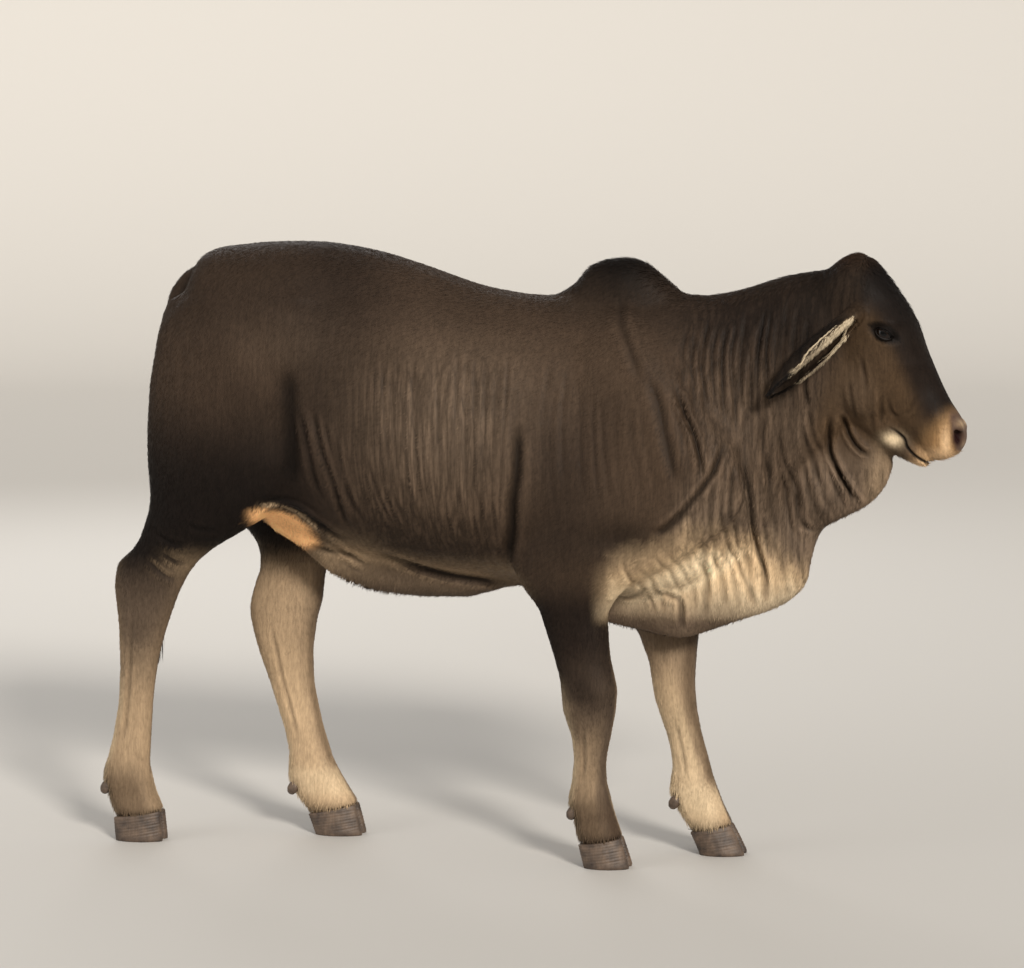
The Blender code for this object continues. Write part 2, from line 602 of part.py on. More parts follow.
HEAD_WALLS = (((0.742, 1.180), (0.772, 0.862)), ((0.772, 0.862), (0.930, 0.762)))


def lens(grow, y, side):
    """The outline of the open lids, two arcs that meet at the corners of the eye."""
    points = []
    long, short = EYE_OPENING[0] * grow, EYE_OPENING[1] * grow
    for index in range(16):
        turn = 2 * math.pi * index / 16
        across = math.cos(turn) * long
        high = math.copysign(abs(math.sin(turn)) ** 1.3, math.sin(turn)) * short
        x = EYE_PLACE[0] + across * math.cos(EYE_TILT) - high * math.sin(EYE_TILT)
        z = EYE_PLACE[2] + across * math.sin(EYE_TILT) + high * math.cos(EYE_TILT)
        points.append(Vector((x, y * side, z)))
    return points


def eye_ball(name, side, grow, group):
    place = (EYE_PLACE[0], EYE_PLACE[1] * side, EYE_PLACE[2])
    return ball(name, place, [EYE_RADIUS + grow] * 3, group)


def shape_eye(head, side, work):
    """Lids drawn over the ball, open in a lens."""
    lids = eye_ball("lids", side, LID_THICKNESS, work)
    boolean(head, lids, "UNION")
    drop(lids)
    carve(head, eye_ball("socket", side, GAP, work))
    carve(head, loft("opening", [lens(0.9, EYE_PLACE[1], side), lens(1.25, EYE_PLACE[1] + 0.04, side)], work))


MOUTH_LINE = ((1.000, 0.801), (0.962, 0.805), (0.930, 0.806), (0.905, 0.820), (0.878, 0.839))
LIP_GROOVE = (0.065, 0.0040)       # y where the groove's cutter ends, and its half height there


def shape_mouth(head, side, work):
    """A groove along the lips, deep at the surface and closing inwards."""
    rings = []
    outer, high = LIP_GROOVE
    for x, z in between(MOUTH_LINE, 2):
        inner = 0.026 - 0.016 * ramp(x, 0.88, 0.92)
        rings.append([Vector((x, outer * side, z + high)), Vector((x, outer * side, z - high)),
                      Vector((x, inner * side, z - 0.0003)), Vector((x, inner * side, z + 0.0003))])
    carve(head, loft("lip_line", rings, work))


# Two overlapping pits make the comma of a nostril: place, half length and half height
NOSTRIL_PITS = ((0.983, 0.037, 0.848, 0.0190, 0.0100), (0.974, 0.041, 0.858, 0.0165, 0.0070))


def shape_nostril(head, side, work):
    for x, y, z, along, high in NOSTRIL_PITS:
        carve(head, ball("nostril", (x, y * side, z), (along, 0.0105, high), work, lean=0.75, count=12))


EAR_LINE = ((0.796, 0.066, 1.086), (0.780, 0.090, 1.072), (0.757, 0.110, 1.050), (0.728, 0.125, 1.020),
            (0.696, 0.137, 0.988), (0.664, 0.146, 0.956), (0.634, 0.151, 0.926))
# half thickness seen from the side, half depth, and degrees of the roll
EAR_CURL = ((0.0120, 0.0140, 310), (0.0155, 0.0190, 305), (0.0175, 0.0250, 285), (0.0205, 0.0300, 275),
            (0.0205, 0.0300, 265), (0.0150, 0.0220, 255), (0.0035, 0.0050, 220))
EAR_OPENING = Vector((0.55, 0.60, -0.35))
EAR_ROOT = 0.0190         # radius of the plug that holds the ear in the head


def mirrored(point, side):
    return Vector((point[0], point[1] * side, point[2]))


def ear_plug(name, side, grow, group):
    """The gristly root of the ear, a plug that sits in a pocket in the head."""
    start, after = mirrored(EAR_LINE[0], side), mirrored(EAR_LINE[1], side)
    along = (after - start).normalized()
    build = bmesh.new()
    bmesh.ops.create_cone(build, cap_ends=True, segments=16, radius1=EAR_ROOT * 0.8 + grow,
                          radius2=EAR_ROOT + grow, depth=0.040 + 2 * grow)
    build.transform(Matrix.Translation(start + along * 0.012) @ along.to_track_quat("Z", "Y").to_matrix().to_4x4())
    return bmesh_object(name, build, group)


def ear(name, side, group, work):
    """A long leaf rolled to a cup, open forwards and outwards."""
    build = bmesh.new()
    rows = []
    line = [mirrored(point, side) for point in between(EAR_LINE, 2)]
    count = 8
    for number, (place, (half, deep, arc)) in enumerate(zip(line, between(EAR_CURL, 2))):
        along = (line[min(number + 1, len(line) - 1)] - line[max(number - 1, 0)]).normalized()
        open_way = mirrored(EAR_OPENING, side)
        open_way = (open_way - along * open_way.dot(along)).normalized()
        cross = along.cross(open_way)
        outer, inner = [], []
        for index in range(count + 1):
            turn = math.radians(arc) * (index / count - 0.5)
            way = cross * (math.sin(turn) * half) - open_way * (math.cos(turn) * deep)
            rim = 1.0 - 0.45 * abs(2 * index / count - 1) ** 3
            left = 1.0 - min(EAR_WALL * rim / half, 0.6)
            outer.append(build.verts.new(place + way))
            inner.append(build.verts.new(place + way * left))
        rows.append(outer + inner[::-1])
    total = len(rows[0])
    for low, high in zip(rows, rows[1:]):
        for index in range(total):
            after = (index + 1) % total
            build.faces.new((low[index], low[after], high[after], high[index]))
    for row in (rows[0], rows[-1]):
        for index in range(count):
            build.faces.new((row[index], row[index + 1], row[total - 2 - index], row[total - 1 - index]))
    bmesh.ops.triangulate(build, faces=build.faces)
    face_outwards(build)
    leaf = bmesh_object(name, build, group)
    plug = ear_plug("plug", side, 0.0, work)
    boolean(leaf, plug, "UNION")
    drop(plug)
    largest_only(leaf)
    return leaf


# Tail

TAIL_CUT = ((-0.560, 1.020), (-0.680, 1.020))
DOCK_FRONT = -0.572           # the root's front and half width, where it is cut off for the tail
DOCK_HALF_WIDTH = 0.030
TAIL_LINE = ((-0.6005, 1.020), (-0.607, 0.930), (-0.616, 0.820), (-0.624, 0.720), (-0.630, 0.625))
TAIL_RADIUS = ((0.0185,), (0.0155,), (0.0125,), (0.0105,), (0.0095,))
CORE_LINE = ((-0.630, 0.6245), (-0.632, 0.580), (-0.634, 0.530), (-0.634, 0.484))
CORE_RADIUS = ((0.0100,), (0.0135,), (0.0125,), (0.0040,))
# Tiers of the switch's locks: how many, height of the roots, height of the tips, how far they swell out
LOCK_TIERS = ((8, 0.604, 0.405, 0.0225), (7, 0.566, 0.368, 0.0190), (5, 0.520, 0.342, 0.0100))
LOCK_WIDTH = 0.0170
LOCK_THICKNESS = 0.0045
LOCK_SEED = 11
TUBE_POINTS = 10


def tube(name, line, radii, group):
    """A round tube along a line in the middle plane, its rings level."""
    rings = []
    for (x, z), (radius,) in zip(between(line, RING_STEPS), between(radii, RING_STEPS)):
        rings.append(ring((x + radius, z), (x - radius, z), radius, 0.0, 0.5, 2.0, TUBE_POINTS))
    return loft(name, rings, group)


def tail(group):
    """The tail proper, from the flat face on its root down to the hair of the switch."""
    return tube("tail", TAIL_LINE, TAIL_RADIUS, group)


def lock(turn, root, tip, swell, sway, group):
    """A flat, tapered lock that hangs from inside the core, swells outwards and draws in to its tip."""
    outwards = Vector((math.cos(turn), math.sin(turn), 0))
    sideways = Vector((-math.sin(turn), math.cos(turn), 0))
    middle = CORE_LINE[-1][0]
    rings = []
    for share in (0.0, 0.18, 0.38, 0.58, 0.80, 1.0):
        reach = 0.003 + swell * math.sin(math.pi * min(1.0, 0.12 + share * 0.75))
        place = Vector((middle, 0, root + (tip - root) * share)) + outwards * reach + sideways * sway * share ** 2
        half_width = 0.5 * LOCK_WIDTH * (0.45 + 0.55 * math.sin(math.pi * share ** 0.7)) * (1.04 - share ** 3)
        half_thick = 0.5 * LOCK_THICKNESS * (1.0 - 0.85 * share)
        rings.append([place + sideways * half_width, place + outwards * half_thick,
                      place - sideways * half_width, place - outwards * half_thick])
    return loft("lock", rings, group)


def switch(group, work):
    """A short core with three tiers of locks that overlap, rooted in it, down to their tips."""
    chance = random.Random(LOCK_SEED)
    core = tube("tail_switch", CORE_LINE, CORE_RADIUS, group)
    locks = bpy.data.collections.new("locks")
    work.children.link(locks)
    for tier, (count, root, tip, swell) in enumerate(LOCK_TIERS):
        for index in range(count):
            turn = 2 * math.pi * (index + 0.5 * tier + chance.uniform(-0.15, 0.15)) / count
            lock(turn, root + chance.uniform(-0.012, 0.004), tip + chance.uniform(-0.012, 0.022),
                 swell * chance.uniform(0.85, 1.05), chance.uniform(-0.012, 0.012), locks)
    boolean(core, locks, "UNION")
    for piece in list(locks.objects):
        drop(piece)
    largest_only(core)
    return core


# Which material each node takes, by how its name begins
COATS = (
    ("eye", "eye", EYE, 0.08), ("claw", "horn", HORN, 0.45), ("dewclaw", "horn", HORN, 0.45),
    ("tail_switch", "switch_hair", HAIR, 0.75), ("ear", "ear_hide", PALE_HIDE, 0.80),
    ("dewlap", "pale_hide", PALE_HIDE, 0.80), ("", "hide", HIDE, 0.75),
)


def paint(things):
    made = {}
    for thing in things:
        slot, colour, roughness = next(coat[1:] for coat in COATS if thing.name.startswith(coat[0]))
        if slot not in made:
            made[slot] = new_material(slot, colour, roughness)
        thing.data.materials.clear()
        thing.data.materials.append(made[slot])


def build_body(parts, work):
    pieces = torso_masses(work) + hump_mass(work) + neck_mass(work) + dewlap_mass(work) + belly_mass(work)
    for side in SIDES.values():
        pieces += foreleg_mass(side, work) + hindleg_mass(side, work)
    pieces += head_masses(work) + tail_dock(work)
    whole = fused("hindquarters", pieces, parts)
    soften(whole)
    thin_out(whole, BODY_SHARE, lambda point: point.x < HEAD_START)
    thin_out(whole, HEAD_SHARE, lambda point: point.x >= HEAD_START)
    return whole


def main():
    clear_scene()
    parts = new_collection(NAME)
    work = new_collection("cutters")
    whole = build_body(parts, work)
    for leg in LEG_CUTS:
        part_leg(whole, leg, parts, work)
    dock_end = [wall(*reversed(TAIL_CUT)), wall((DOCK_FRONT, 1.2), (DOCK_FRONT, 0.8)),
                side_wall(-DOCK_HALF_WIDTH, 1), side_wall(-DOCK_HALF_WIDTH, -1)]
    drop(part_off(whole, "dock_end", dock_end, parts, work))
    tail(parts)
    switch(parts, work)
    head = part_off(whole, "head", [wall(*HEAD_WALLS[0][::-1]), wall(*HEAD_WALLS[1][::-1])], parts, work)
    for name, side in SIDES.items():
        carve(head, ear_plug("pocket", side, GAP, work))
        ear("ear_" + name, side, parts, work)
        shape_eye(head, side, work)
        shape_mouth(head, side, work)
        shape_nostril(head, side, work)
        eye_ball("eye_" + name, side, 0.0, parts)
    largest_only(head)
    dewlap_region = [wall((0.430, 0.532), (0.800, 0.881)), side_wall(-0.060, 1), side_wall(-0.060, -1)]
    part_off(whole, "dewlap", dewlap_region, parts, work)
    neck_region = [wall((0.635, 0.690), (0.465, 1.120))]
    part_off(whole, "neck", neck_region, parts, work)
    hump_region = [wall((0.500, 1.107), (0.150, 1.107)), wall((0.160, 1.0), (0.160, 1.3))]
    part_off(whole, "hump", hump_region, parts, work)
    part_off(whole, "barrel", [wall((-0.270, 0.500), (-0.215, 1.250))], parts, work)
    for thing in parts.objects:
        thing.data.transform(Matrix.Translation((-MIDDLE, 0, 0)))
    paint(parts.objects)


main()
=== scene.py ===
"""The looks of a young brahman: one hide over the solids, with folds, coat, eyes, hooves and tail hair."""
import math

import bpy
import numpy as np
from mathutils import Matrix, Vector
from mathutils.bvhtree import BVHTree


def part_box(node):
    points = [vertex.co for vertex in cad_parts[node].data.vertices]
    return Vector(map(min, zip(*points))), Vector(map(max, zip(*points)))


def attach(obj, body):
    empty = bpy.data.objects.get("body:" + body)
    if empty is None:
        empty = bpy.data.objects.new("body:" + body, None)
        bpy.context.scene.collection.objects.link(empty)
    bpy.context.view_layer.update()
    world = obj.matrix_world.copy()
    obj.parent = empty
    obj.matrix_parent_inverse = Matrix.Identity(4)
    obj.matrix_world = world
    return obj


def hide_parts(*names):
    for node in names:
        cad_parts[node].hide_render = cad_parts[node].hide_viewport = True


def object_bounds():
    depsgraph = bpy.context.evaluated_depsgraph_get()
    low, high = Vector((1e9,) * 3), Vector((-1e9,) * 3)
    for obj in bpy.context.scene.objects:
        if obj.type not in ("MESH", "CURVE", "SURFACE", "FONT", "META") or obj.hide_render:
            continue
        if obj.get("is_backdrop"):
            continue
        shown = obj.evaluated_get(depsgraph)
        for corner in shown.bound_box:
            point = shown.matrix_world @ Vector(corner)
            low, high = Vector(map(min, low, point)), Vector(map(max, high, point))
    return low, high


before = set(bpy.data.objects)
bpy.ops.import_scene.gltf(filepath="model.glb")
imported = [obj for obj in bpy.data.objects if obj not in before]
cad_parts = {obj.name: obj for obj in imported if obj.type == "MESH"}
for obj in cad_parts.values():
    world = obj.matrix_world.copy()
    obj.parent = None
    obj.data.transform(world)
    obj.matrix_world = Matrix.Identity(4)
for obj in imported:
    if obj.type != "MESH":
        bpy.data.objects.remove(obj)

CAD_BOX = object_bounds()

LEGS = ("foreleg_right", "foreleg_left", "hindleg_right", "hindleg_left")
EARS = ["ear_right", "ear_left"]
FLESH = ["hindquarters", "barrel", "neck", "hump", "dewlap", "head", "tail"] + EARS
FLESH += [leg + part for leg in LEGS for part in ("_upper", "_lower")]

# Places on the head, in metres. The mouth's line runs in the side view, from the front.
EYE_RADIUS = 0.0192
EYE_TILT = math.radians(-28)
EYE_OPENING = (0.0172, 0.0078)
MOUTH_LINE = ((0.832, 0.797), (0.800, 0.797), (0.784, 0.803), (0.769, 0.814), (0.757, 0.828), (0.752, 0.843),
              (0.735, 0.858), (0.716, 0.868))
MOUTH_DEPTH = 0.0045
MOUTH_WIDTH = 0.0026
NOSTRIL = (0.853, 0.043, 0.851)
HEAD_HALF_WIDTH = 0.075


# Working by hand

def take(*things):
    """Only these are selected, and the first is active."""
    bpy.ops.object.select_all(action="DESELECT")
    for thing in things:
        thing.select_set(True)
    bpy.context.view_layer.objects.active = things[0]


def apply_all(thing):
    take(thing)
    for step in list(thing.modifiers):
        bpy.ops.object.modifier_apply(modifier=step.name)


def joined(name, nodes):
    """Copies of solids as one mesh, their loose triangles merged."""
    copies = []
    for node in nodes:
        piece = bpy.data.objects.new(name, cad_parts[node].data.copy())
        bpy.context.scene.collection.objects.link(piece)
        copies.append(piece)
    take(*copies)
    if len(copies) > 1:
        bpy.ops.object.join()
    whole = copies[0]
    whole.name = name
    whole.data.materials.clear()
    bpy.ops.object.mode_set(mode="EDIT")
    bpy.ops.mesh.select_all(action="SELECT")
    bpy.ops.mesh.remove_doubles(threshold=0.00002)
    bpy.ops.object.mode_set(mode="OBJECT")
    return whole


def points_of(thing):
    co = np.empty(len(thing.data.vertices) * 3, np.float32)
    thing.data.vertices.foreach_get("co", co)
    return co.reshape(-1, 3).astype(float)


def set_points(thing, co):
    thing.data.vertices.foreach_set("co", co.astype(np.float32).ravel())
    thing.data.update()


def normals_of(thing):
    way = np.empty(len(thing.data.vertices) * 3, np.float32)
    thing.data.vertex_normals.foreach_get("vector", way)
    return way.reshape(-1, 3).astype(float)


def smoothstep(value, low, high):
    """Rises softly from 0 at low to 1 at high."""
    t = np.clip((value - low) / (high - low), 0.0, 1.0)
    return t * t * (3 - 2 * t)


def fades(value, low, high):
    """Falls softly from 1 at low to 0 at high."""
    return 1 - smoothstep(value, low, high)


def unit(vectors):
    return vectors / np.maximum(np.linalg.norm(vectors, axis=1), 1e-9)[:, None]


def folded(co):
    """The off side's points laid over on the near side's mirror, so that one place serves both."""
    return co * (1, 0, 1) + np.abs(co) * (0, 1, 0)


def word_of(side):
    return "right" if side < 0 else "left"


def group_of(thing, name, weights):
    """A vertex group with the weights in tenths."""
    group = thing.vertex_groups.new(name=name)
    tenths = np.rint(weights * 10).astype(int)
    for tenth in range(1, 11):
        group.add(np.nonzero(tenths == tenth)[0].tolist(), tenth / 10, "REPLACE")
    return name


def smooth_by(thing, weights, rounds):
    """Smooths the mesh this many times, by a weight at each point."""
    step = thing.modifiers.new("smooth", "SMOOTH")
    step.factor = 0.5
    step.iterations = rounds
    step.vertex_group = group_of(thing, "smoothed", weights)
    apply_all(thing)
    thing.vertex_groups.clear()


def voxelled(thing, size, overlap=0.0):
    """The mesh as one closed skin on a fine grid, its pieces first swollen until they meet."""
    if overlap:
        step = thing.modifiers.new("meet", "DISPLACE")
        step.strength = overlap
        step.mid_level = 0.0
    step = thing.modifiers.new("grid", "REMESH")
    step.mode = "VOXEL"
    step.voxel_size = size
    apply_all(thing)


def near_nodes(co, names, reach):
    """Which points lie within reach of these solids."""
    found = np.zeros(len(co), bool)
    for name in names:
        low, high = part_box(name)
        ids = np.nonzero(np.all((co > np.array(low) - reach) & (co < np.array(high) + reach), axis=1))[0]
        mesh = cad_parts[name].data
        tree = BVHTree.FromPolygons([vert.co for vert in mesh.vertices],
                                    [face.vertices for face in mesh.polygons])
        for number in ids:
            if tree.find_nearest(Vector(co[number]), reach)[0] is not None:
                found[number] = True
    return found


# The relief of the hide. A fold is a line of the side view with its depth and half width in millimetres,
# the sides that have it, and how much the skin swells beside it.

NEAR, FAR, BOTH = (-1,), (1,), (-1, 1)
DEEPENED, NARROWED = 1.15, 0.85    # every fold, against the table
FOLDS = [
    # neck and shoulder
    (((0.455, 0.850), (0.457, 0.803), (0.463, 0.765), (0.470, 0.725), (0.470, 0.665), (0.473, 0.623),
      (0.485, 0.588), (0.496, 0.540)), 6.0, 6.0, BOTH, 0.5),
    (((0.280, 0.965), (0.304, 0.914), (0.317, 0.862), (0.329, 0.816), (0.345, 0.750)), 4.0, 10.0, BOTH, 0.3),
    (((0.330, 0.950), (0.352, 0.896), (0.370, 0.860), (0.384, 0.815), (0.392, 0.765)), 5.0, 5.5, BOTH, 0.6),
    (((0.430, 0.850), (0.412, 0.788), (0.380, 0.740), (0.345, 0.700), (0.310, 0.672)), 5.0, 6.0, BOTH, 0.5),
    (((0.207, 1.110), (0.217, 1.063), (0.244, 1.010), (0.271, 0.950)), 2.5, 9.0, BOTH, 0.4),
    (((0.497, 0.910), (0.490, 0.840), (0.499, 0.782), (0.507, 0.735)), 3.0, 6.0, BOTH, 0.5),
    (((0.544, 0.740), (0.550, 0.691), (0.564, 0.668), (0.588, 0.661)), 3.5, 6.0, BOTH, 0.5),
    (((0.474, 1.075), (0.463, 0.991), (0.456, 0.916), (0.452, 0.850)), -2.6, 7.0, BOTH, 0.6),
    # throat and dewlap
    (((0.617, 0.895), (0.607, 0.827), (0.625, 0.780), (0.648, 0.741), (0.671, 0.700)), 7.5, 5.5, BOTH, 0.7),
    (((0.614, 0.795), (0.639, 0.751), (0.656, 0.700)), 5.0, 4.5, BOTH, 0.7),
    (((0.633, 0.890), (0.643, 0.852), (0.663, 0.822), (0.688, 0.806)), 6.0, 5.0, BOTH, 0.7),
    (((0.562, 0.870), (0.575, 0.798), (0.594, 0.742)), 3.5, 6.0, BOTH, 0.5),
    (((0.418, 0.655), (0.441, 0.584), (0.460, 0.541), (0.474, 0.505)), 3.0, 6.0, BOTH, 0.5),
    (((0.268, 0.548), (0.298, 0.529), (0.322, 0.516), (0.324, 0.455)), 3.5, 6.0, BOTH, 0.5),
    (((0.195, 0.526), (0.225, 0.522), (0.270, 0.548)), 2.5, 5.0, BOTH, 0.5),
    (((0.383, 0.655), (0.374, 0.552), (0.368, 0.480)), 2.5, 7.0, BOTH, 0.5),
    (((0.296, 0.662), (0.321, 0.674), (0.349, 0.693), (0.372, 0.716)), 4.5, 8.0, BOTH, 0.4),
    (((0.575, 0.905), (0.580, 0.850), (0.596, 0.800)), 3.0, 5.0, BOTH, 0.7),
    (((0.520, 0.860), (0.528, 0.800), (0.545, 0.735)), 3.0, 5.0, BOTH, 0.6),
    # elbow, flank and belly
    (((0.038, 0.880), (0.037, 0.782), (0.028, 0.724), (0.022, 0.664), (0.010, 0.622), (-0.003, 0.572)),
     8.0, 11.0, BOTH, 0.25),
    (((-0.427, 0.975), (-0.423, 0.865), (-0.424, 0.786), (-0.436, 0.725)), 6.0, 20.0, BOTH, 0.1),
    (((-0.402, 0.890), (-0.388, 0.807), (-0.378, 0.748), (-0.365, 0.700)), 3.5, 7.0, BOTH, 0.6),
    (((-0.378, 0.900), (-0.357, 0.809), (-0.335, 0.730), (-0.323, 0.669), (-0.308, 0.640)),
     4.0, 7.0, BOTH, 0.6),
    (((-0.352, 0.870), (-0.334, 0.790), (-0.320, 0.720)), 3.0, 6.5, BOTH, 0.6),
    (((-0.329, 0.845), (-0.318, 0.771), (-0.304, 0.712), (-0.280, 0.665)), 3.0, 7.0, BOTH, 0.6),
    (((-0.285, 0.600), (-0.232, 0.585), (-0.185, 0.568), (-0.134, 0.556), (-0.085, 0.549), (-0.020, 0.540)),
     6.0, 8.0, BOTH, 0.5),
    (((-0.430, 0.682), (-0.384, 0.654), (-0.356, 0.634), (-0.318, 0.622)), 3.5, 7.0, BOTH, 0.5),
    (((-0.440, 0.606), (-0.383, 0.597), (-0.318, 0.586)), 3.0, 6.0, BOTH, 0.5),
    # near hock, and the far one's bend
    (((-0.712, 0.634), (-0.676, 0.614), (-0.645, 0.610)), 1.8, 6.0, NEAR, 0.6),
    (((-0.735, 0.582), (-0.700, 0.547), (-0.675, 0.538)), 1.8, 6.0, NEAR, 0.6),
    (((-0.640, 0.656), (-0.614, 0.643), (-0.575, 0.645)), 1.8, 7.0, NEAR, 0.6),
    (((-0.700, 0.598), (-0.675, 0.578), (-0.650, 0.575)), 1.5, 6.0, NEAR, 0.6),
    # the rim of the groin's bare patch, and the flap of skin in front of it
    (((-0.505, 0.668), (-0.480, 0.690), (-0.447, 0.697), (-0.410, 0.684), (-0.375, 0.655)),
     -4.0, 6.0, BOTH, 0.3),
    (((-0.385, 0.640), (-0.352, 0.612), (-0.322, 0.590), (-0.290, 0.575)), -3.0, 6.0, BOTH, 0.6),
    (((-0.402, 0.618), (-0.372, 0.596), (-0.340, 0.575), (-0.310, 0.560)), -2.5, 5.0, BOTH, 0.6),
    # between bone and sinew along the shanks
    (((-0.770, 0.480), (-0.779, 0.400), (-0.790, 0.284), (-0.806, 0.185)), 2.0, 5.0, NEAR, 0.4),
    (((-0.545, 0.440), (-0.531, 0.380), (-0.517, 0.310), (-0.500, 0.248), (-0.482, 0.180)),
     2.0, 5.0, FAR, 0.4),
    (((0.152, 0.285), (0.152, 0.212), (0.148, 0.160)), 1.8, 4.5, NEAR, 0.4),
    (((0.294, 0.265), (0.310, 0.190), (0.318, 0.145)), 1.8, 4.5, FAR, 0.4),
    # face
    (((0.672, 1.010), (0.683, 0.946), (0.686, 0.870)), 2.4, 4.5, BOTH, 0.6),
    (((0.650, 0.960), (0.655, 0.915), (0.664, 0.870)), 1.8, 4.5, BOTH, 0.6),
    (((0.693, 0.950), (0.694, 0.905), (0.690, 0.850)), 2.4, 4.5, BOTH, 0.6),
    (((0.712, 0.930), (0.710, 0.895), (0.706, 0.868)), 2.4, 4.5, BOTH, 0.6),
    (((0.722, 0.925), (0.726, 0.898), (0.742, 0.880)), 2.0, 4.5, BOTH, 0.5),
    (((0.752, 0.886), (0.768, 0.905), (0.780, 0.930)), 1.4, 5.0, BOTH, 0.4),
]
# Fans of like folds between a first and a last line: how many, depth, half width, seed
FANS = [
    (((0.350, 1.065), (0.344, 0.990), (0.356, 0.918), (0.362, 0.860)),
     ((0.590, 1.100), (0.580, 1.020), (0.575, 0.940), (0.585, 0.860)), 15, 2.6, 5.5, 3),
    (((0.415, 0.800), (0.400, 0.720), (0.395, 0.640), (0.388, 0.540)),
     ((0.590, 0.850), (0.605, 0.770), (0.625, 0.720), (0.650, 0.690)), 11, 2.6, 5.5, 5),
    (((0.235, 0.620), (0.250, 0.570), (0.262, 0.520), (0.270, 0.480)),
     ((0.540, 0.640), (0.550, 0.600), (0.555, 0.560), (0.560, 0.520)), 11, 2.2, 5.5, 8),
    (((-0.240, 0.985), (-0.235, 0.900), (-0.225, 0.800), (-0.205, 0.660)),
     ((0.010, 1.016), (0.014, 0.914), (0.013, 0.801), (0.000, 0.650)), 23, 1.5, 4.5, 11),
    (((-0.300, 0.800), (-0.285, 0.740), (-0.265, 0.690), (-0.240, 0.640)),
     ((-0.020, 0.760), (-0.018, 0.710), (-0.016, 0.660), (-0.015, 0.610)), 15, 1.3, 5.0, 13),
    (((0.090, 1.000), (0.085, 0.900), (0.085, 0.800), (0.090, 0.720)),
     ((0.270, 0.900), (0.275, 0.850), (0.290, 0.780), (0.300, 0.720)), 9, 0.9, 6.0, 17),
]
# Bones and muscles: place, reach each way and height, in metres, on both sides
FORMS = [
    ((-0.412, 0.150, 1.098), (0.040, 0.040, 0.018), 0.0070),
    ((-0.690, 0.075, 1.030), (0.035, 0.040, 0.035), 0.0050),
    ((-0.560, 0.110, 1.110), (0.060, 0.050, 0.035), -0.0040),
    ((-0.330, 0.130, 1.110), (0.080, 0.045, 0.022), -0.0050),
    ((-0.430, 0.160, 0.760), (0.050, 0.060, 0.050), 0.0050),
    ((-0.610, 0.160, 0.830), (0.070, 0.060, 0.120), 0.0040),
    ((0.300, 0.150, 0.960), (0.050, 0.060, 0.090), 0.0040),
    ((0.355, 0.170, 0.800), (0.060, 0.060, 0.060), 0.0060),
    ((0.170, 0.170, 0.880), (0.045, 0.060, 0.110), -0.0040),
    ((0.120, 0.180, 0.740), (0.060, 0.060, 0.070), 0.0060),
    ((0.235, 0.190, 0.650), (0.060, 0.050, 0.032), -0.0090),
    ((0.100, 0.120, 1.060), (0.060, 0.060, 0.050), -0.0030),
    ((0.700, 0.060, 1.105), (0.026, 0.030, 0.024), -0.0035),
    ((0.735, 0.070, 1.066), (0.026, 0.024, 0.009), 0.0030),
    ((0.770, 0.050, 0.985), (0.045, 0.030, 0.010), 0.0018),
    ((0.690, 0.070, 0.955), (0.040, 0.040, 0.055), 0.0030),
    ((0.785, 0.045, 0.935), (0.030, 0.030, 0.022), -0.0022),
    ((0.822, 0.040, 0.845), (0.026, 0.030, 0.026), 0.0022),
    ((0.800, 0.020, 0.796), (0.020, 0.026, 0.012), 0.0020),
    ((0.640, 0.060, 1.060), (0.030, 0.030, 0.040), -0.0030),
]


def curve_of(points, steps=4):
    """A smooth line through the points."""
    line = np.array(points, float)
    ends = np.vstack((2 * line[0] - line[1], line, 2 * line[-1] - line[-2]))
    out = []
    for a, b, c, d in zip(ends, ends[1:], ends[2:], ends[3:]):
        for t in np.arange(steps) / steps:
            out.append(0.5 * (2 * b + (c - a) * t + (2 * a - 5 * b + 4 * c - d) * t ** 2
                              + (3 * b - a - 3 * c + d) * t ** 3))
    return np.array(out + [line[-1]])


def near_line(line, co, reach):
    """Which points lie near a line of the side view, how far off it and how far along it they are."""
    view = co[:, (0, 2)]
    ids = np.nonzero(np.all((view > line.min(0) - reach) & (view < line.max(0) + reach), axis=1))[0]
    spot = view[ids]
    off, along = np.full(len(ids), 9.0), np.zeros(len(ids))
    spans = np.diff(line, axis=0)
    lengths = np.linalg.norm(spans, axis=1)
    gone = 0.0
    for start, span, length in zip(line, spans, lengths):
        t = np.clip((spot - start) @ span / length ** 2, 0, 1)
        away = np.linalg.norm(spot - start - t[:, None] * span, axis=1)
        closer = away < off
        off[closer] = away[closer]
        along[closer] = (gone + t[closer] * length) / lengths.sum()
        gone += length
    return ids, off, along


def fan_lines(first, last, count, seed):
    """Lines between a first and a last one, each a little out of step."""
    chance = np.random.default_rng(seed)
    first, last = np.array(first), np.array(last)
    for number in range(count):
        share = (number + chance.uniform(-0.30, 0.30)) / (count - 1)
        line = first + (last - first) * share
        line[:, 0] += np.cumsum(chance.uniform(-0.004, 0.004, len(line)))
        line[0] += (line[1] - line[0]) * chance.uniform(-0.4, 0.5)
        line[-1] += (line[-2] - line[-1]) * chance.uniform(-0.3, 0.5)
        yield line, chance.uniform(0.5, 1.3), chance.uniform(0.8, 1.25)


def add_fold(rise, co, facing, points, depth, width, sides, bank):
    """Sinks one fold into the rise of the points, with a bank along both its edges."""
    depth, width = DEEPENED * depth / 1000, NARROWED * width / 1000
    ids, off, along = near_line(curve_of(points), co, 4 * width)
    fade = smoothstep(np.minimum(along, 1 - along), 0.0, 0.22)
    shape = bank * np.exp(-((off - 2.1 * width) / width) ** 2) - np.exp(-(off / width) ** 2)
    for side in sides:
        rise[ids] += depth * shape * fade * facing[side][ids]


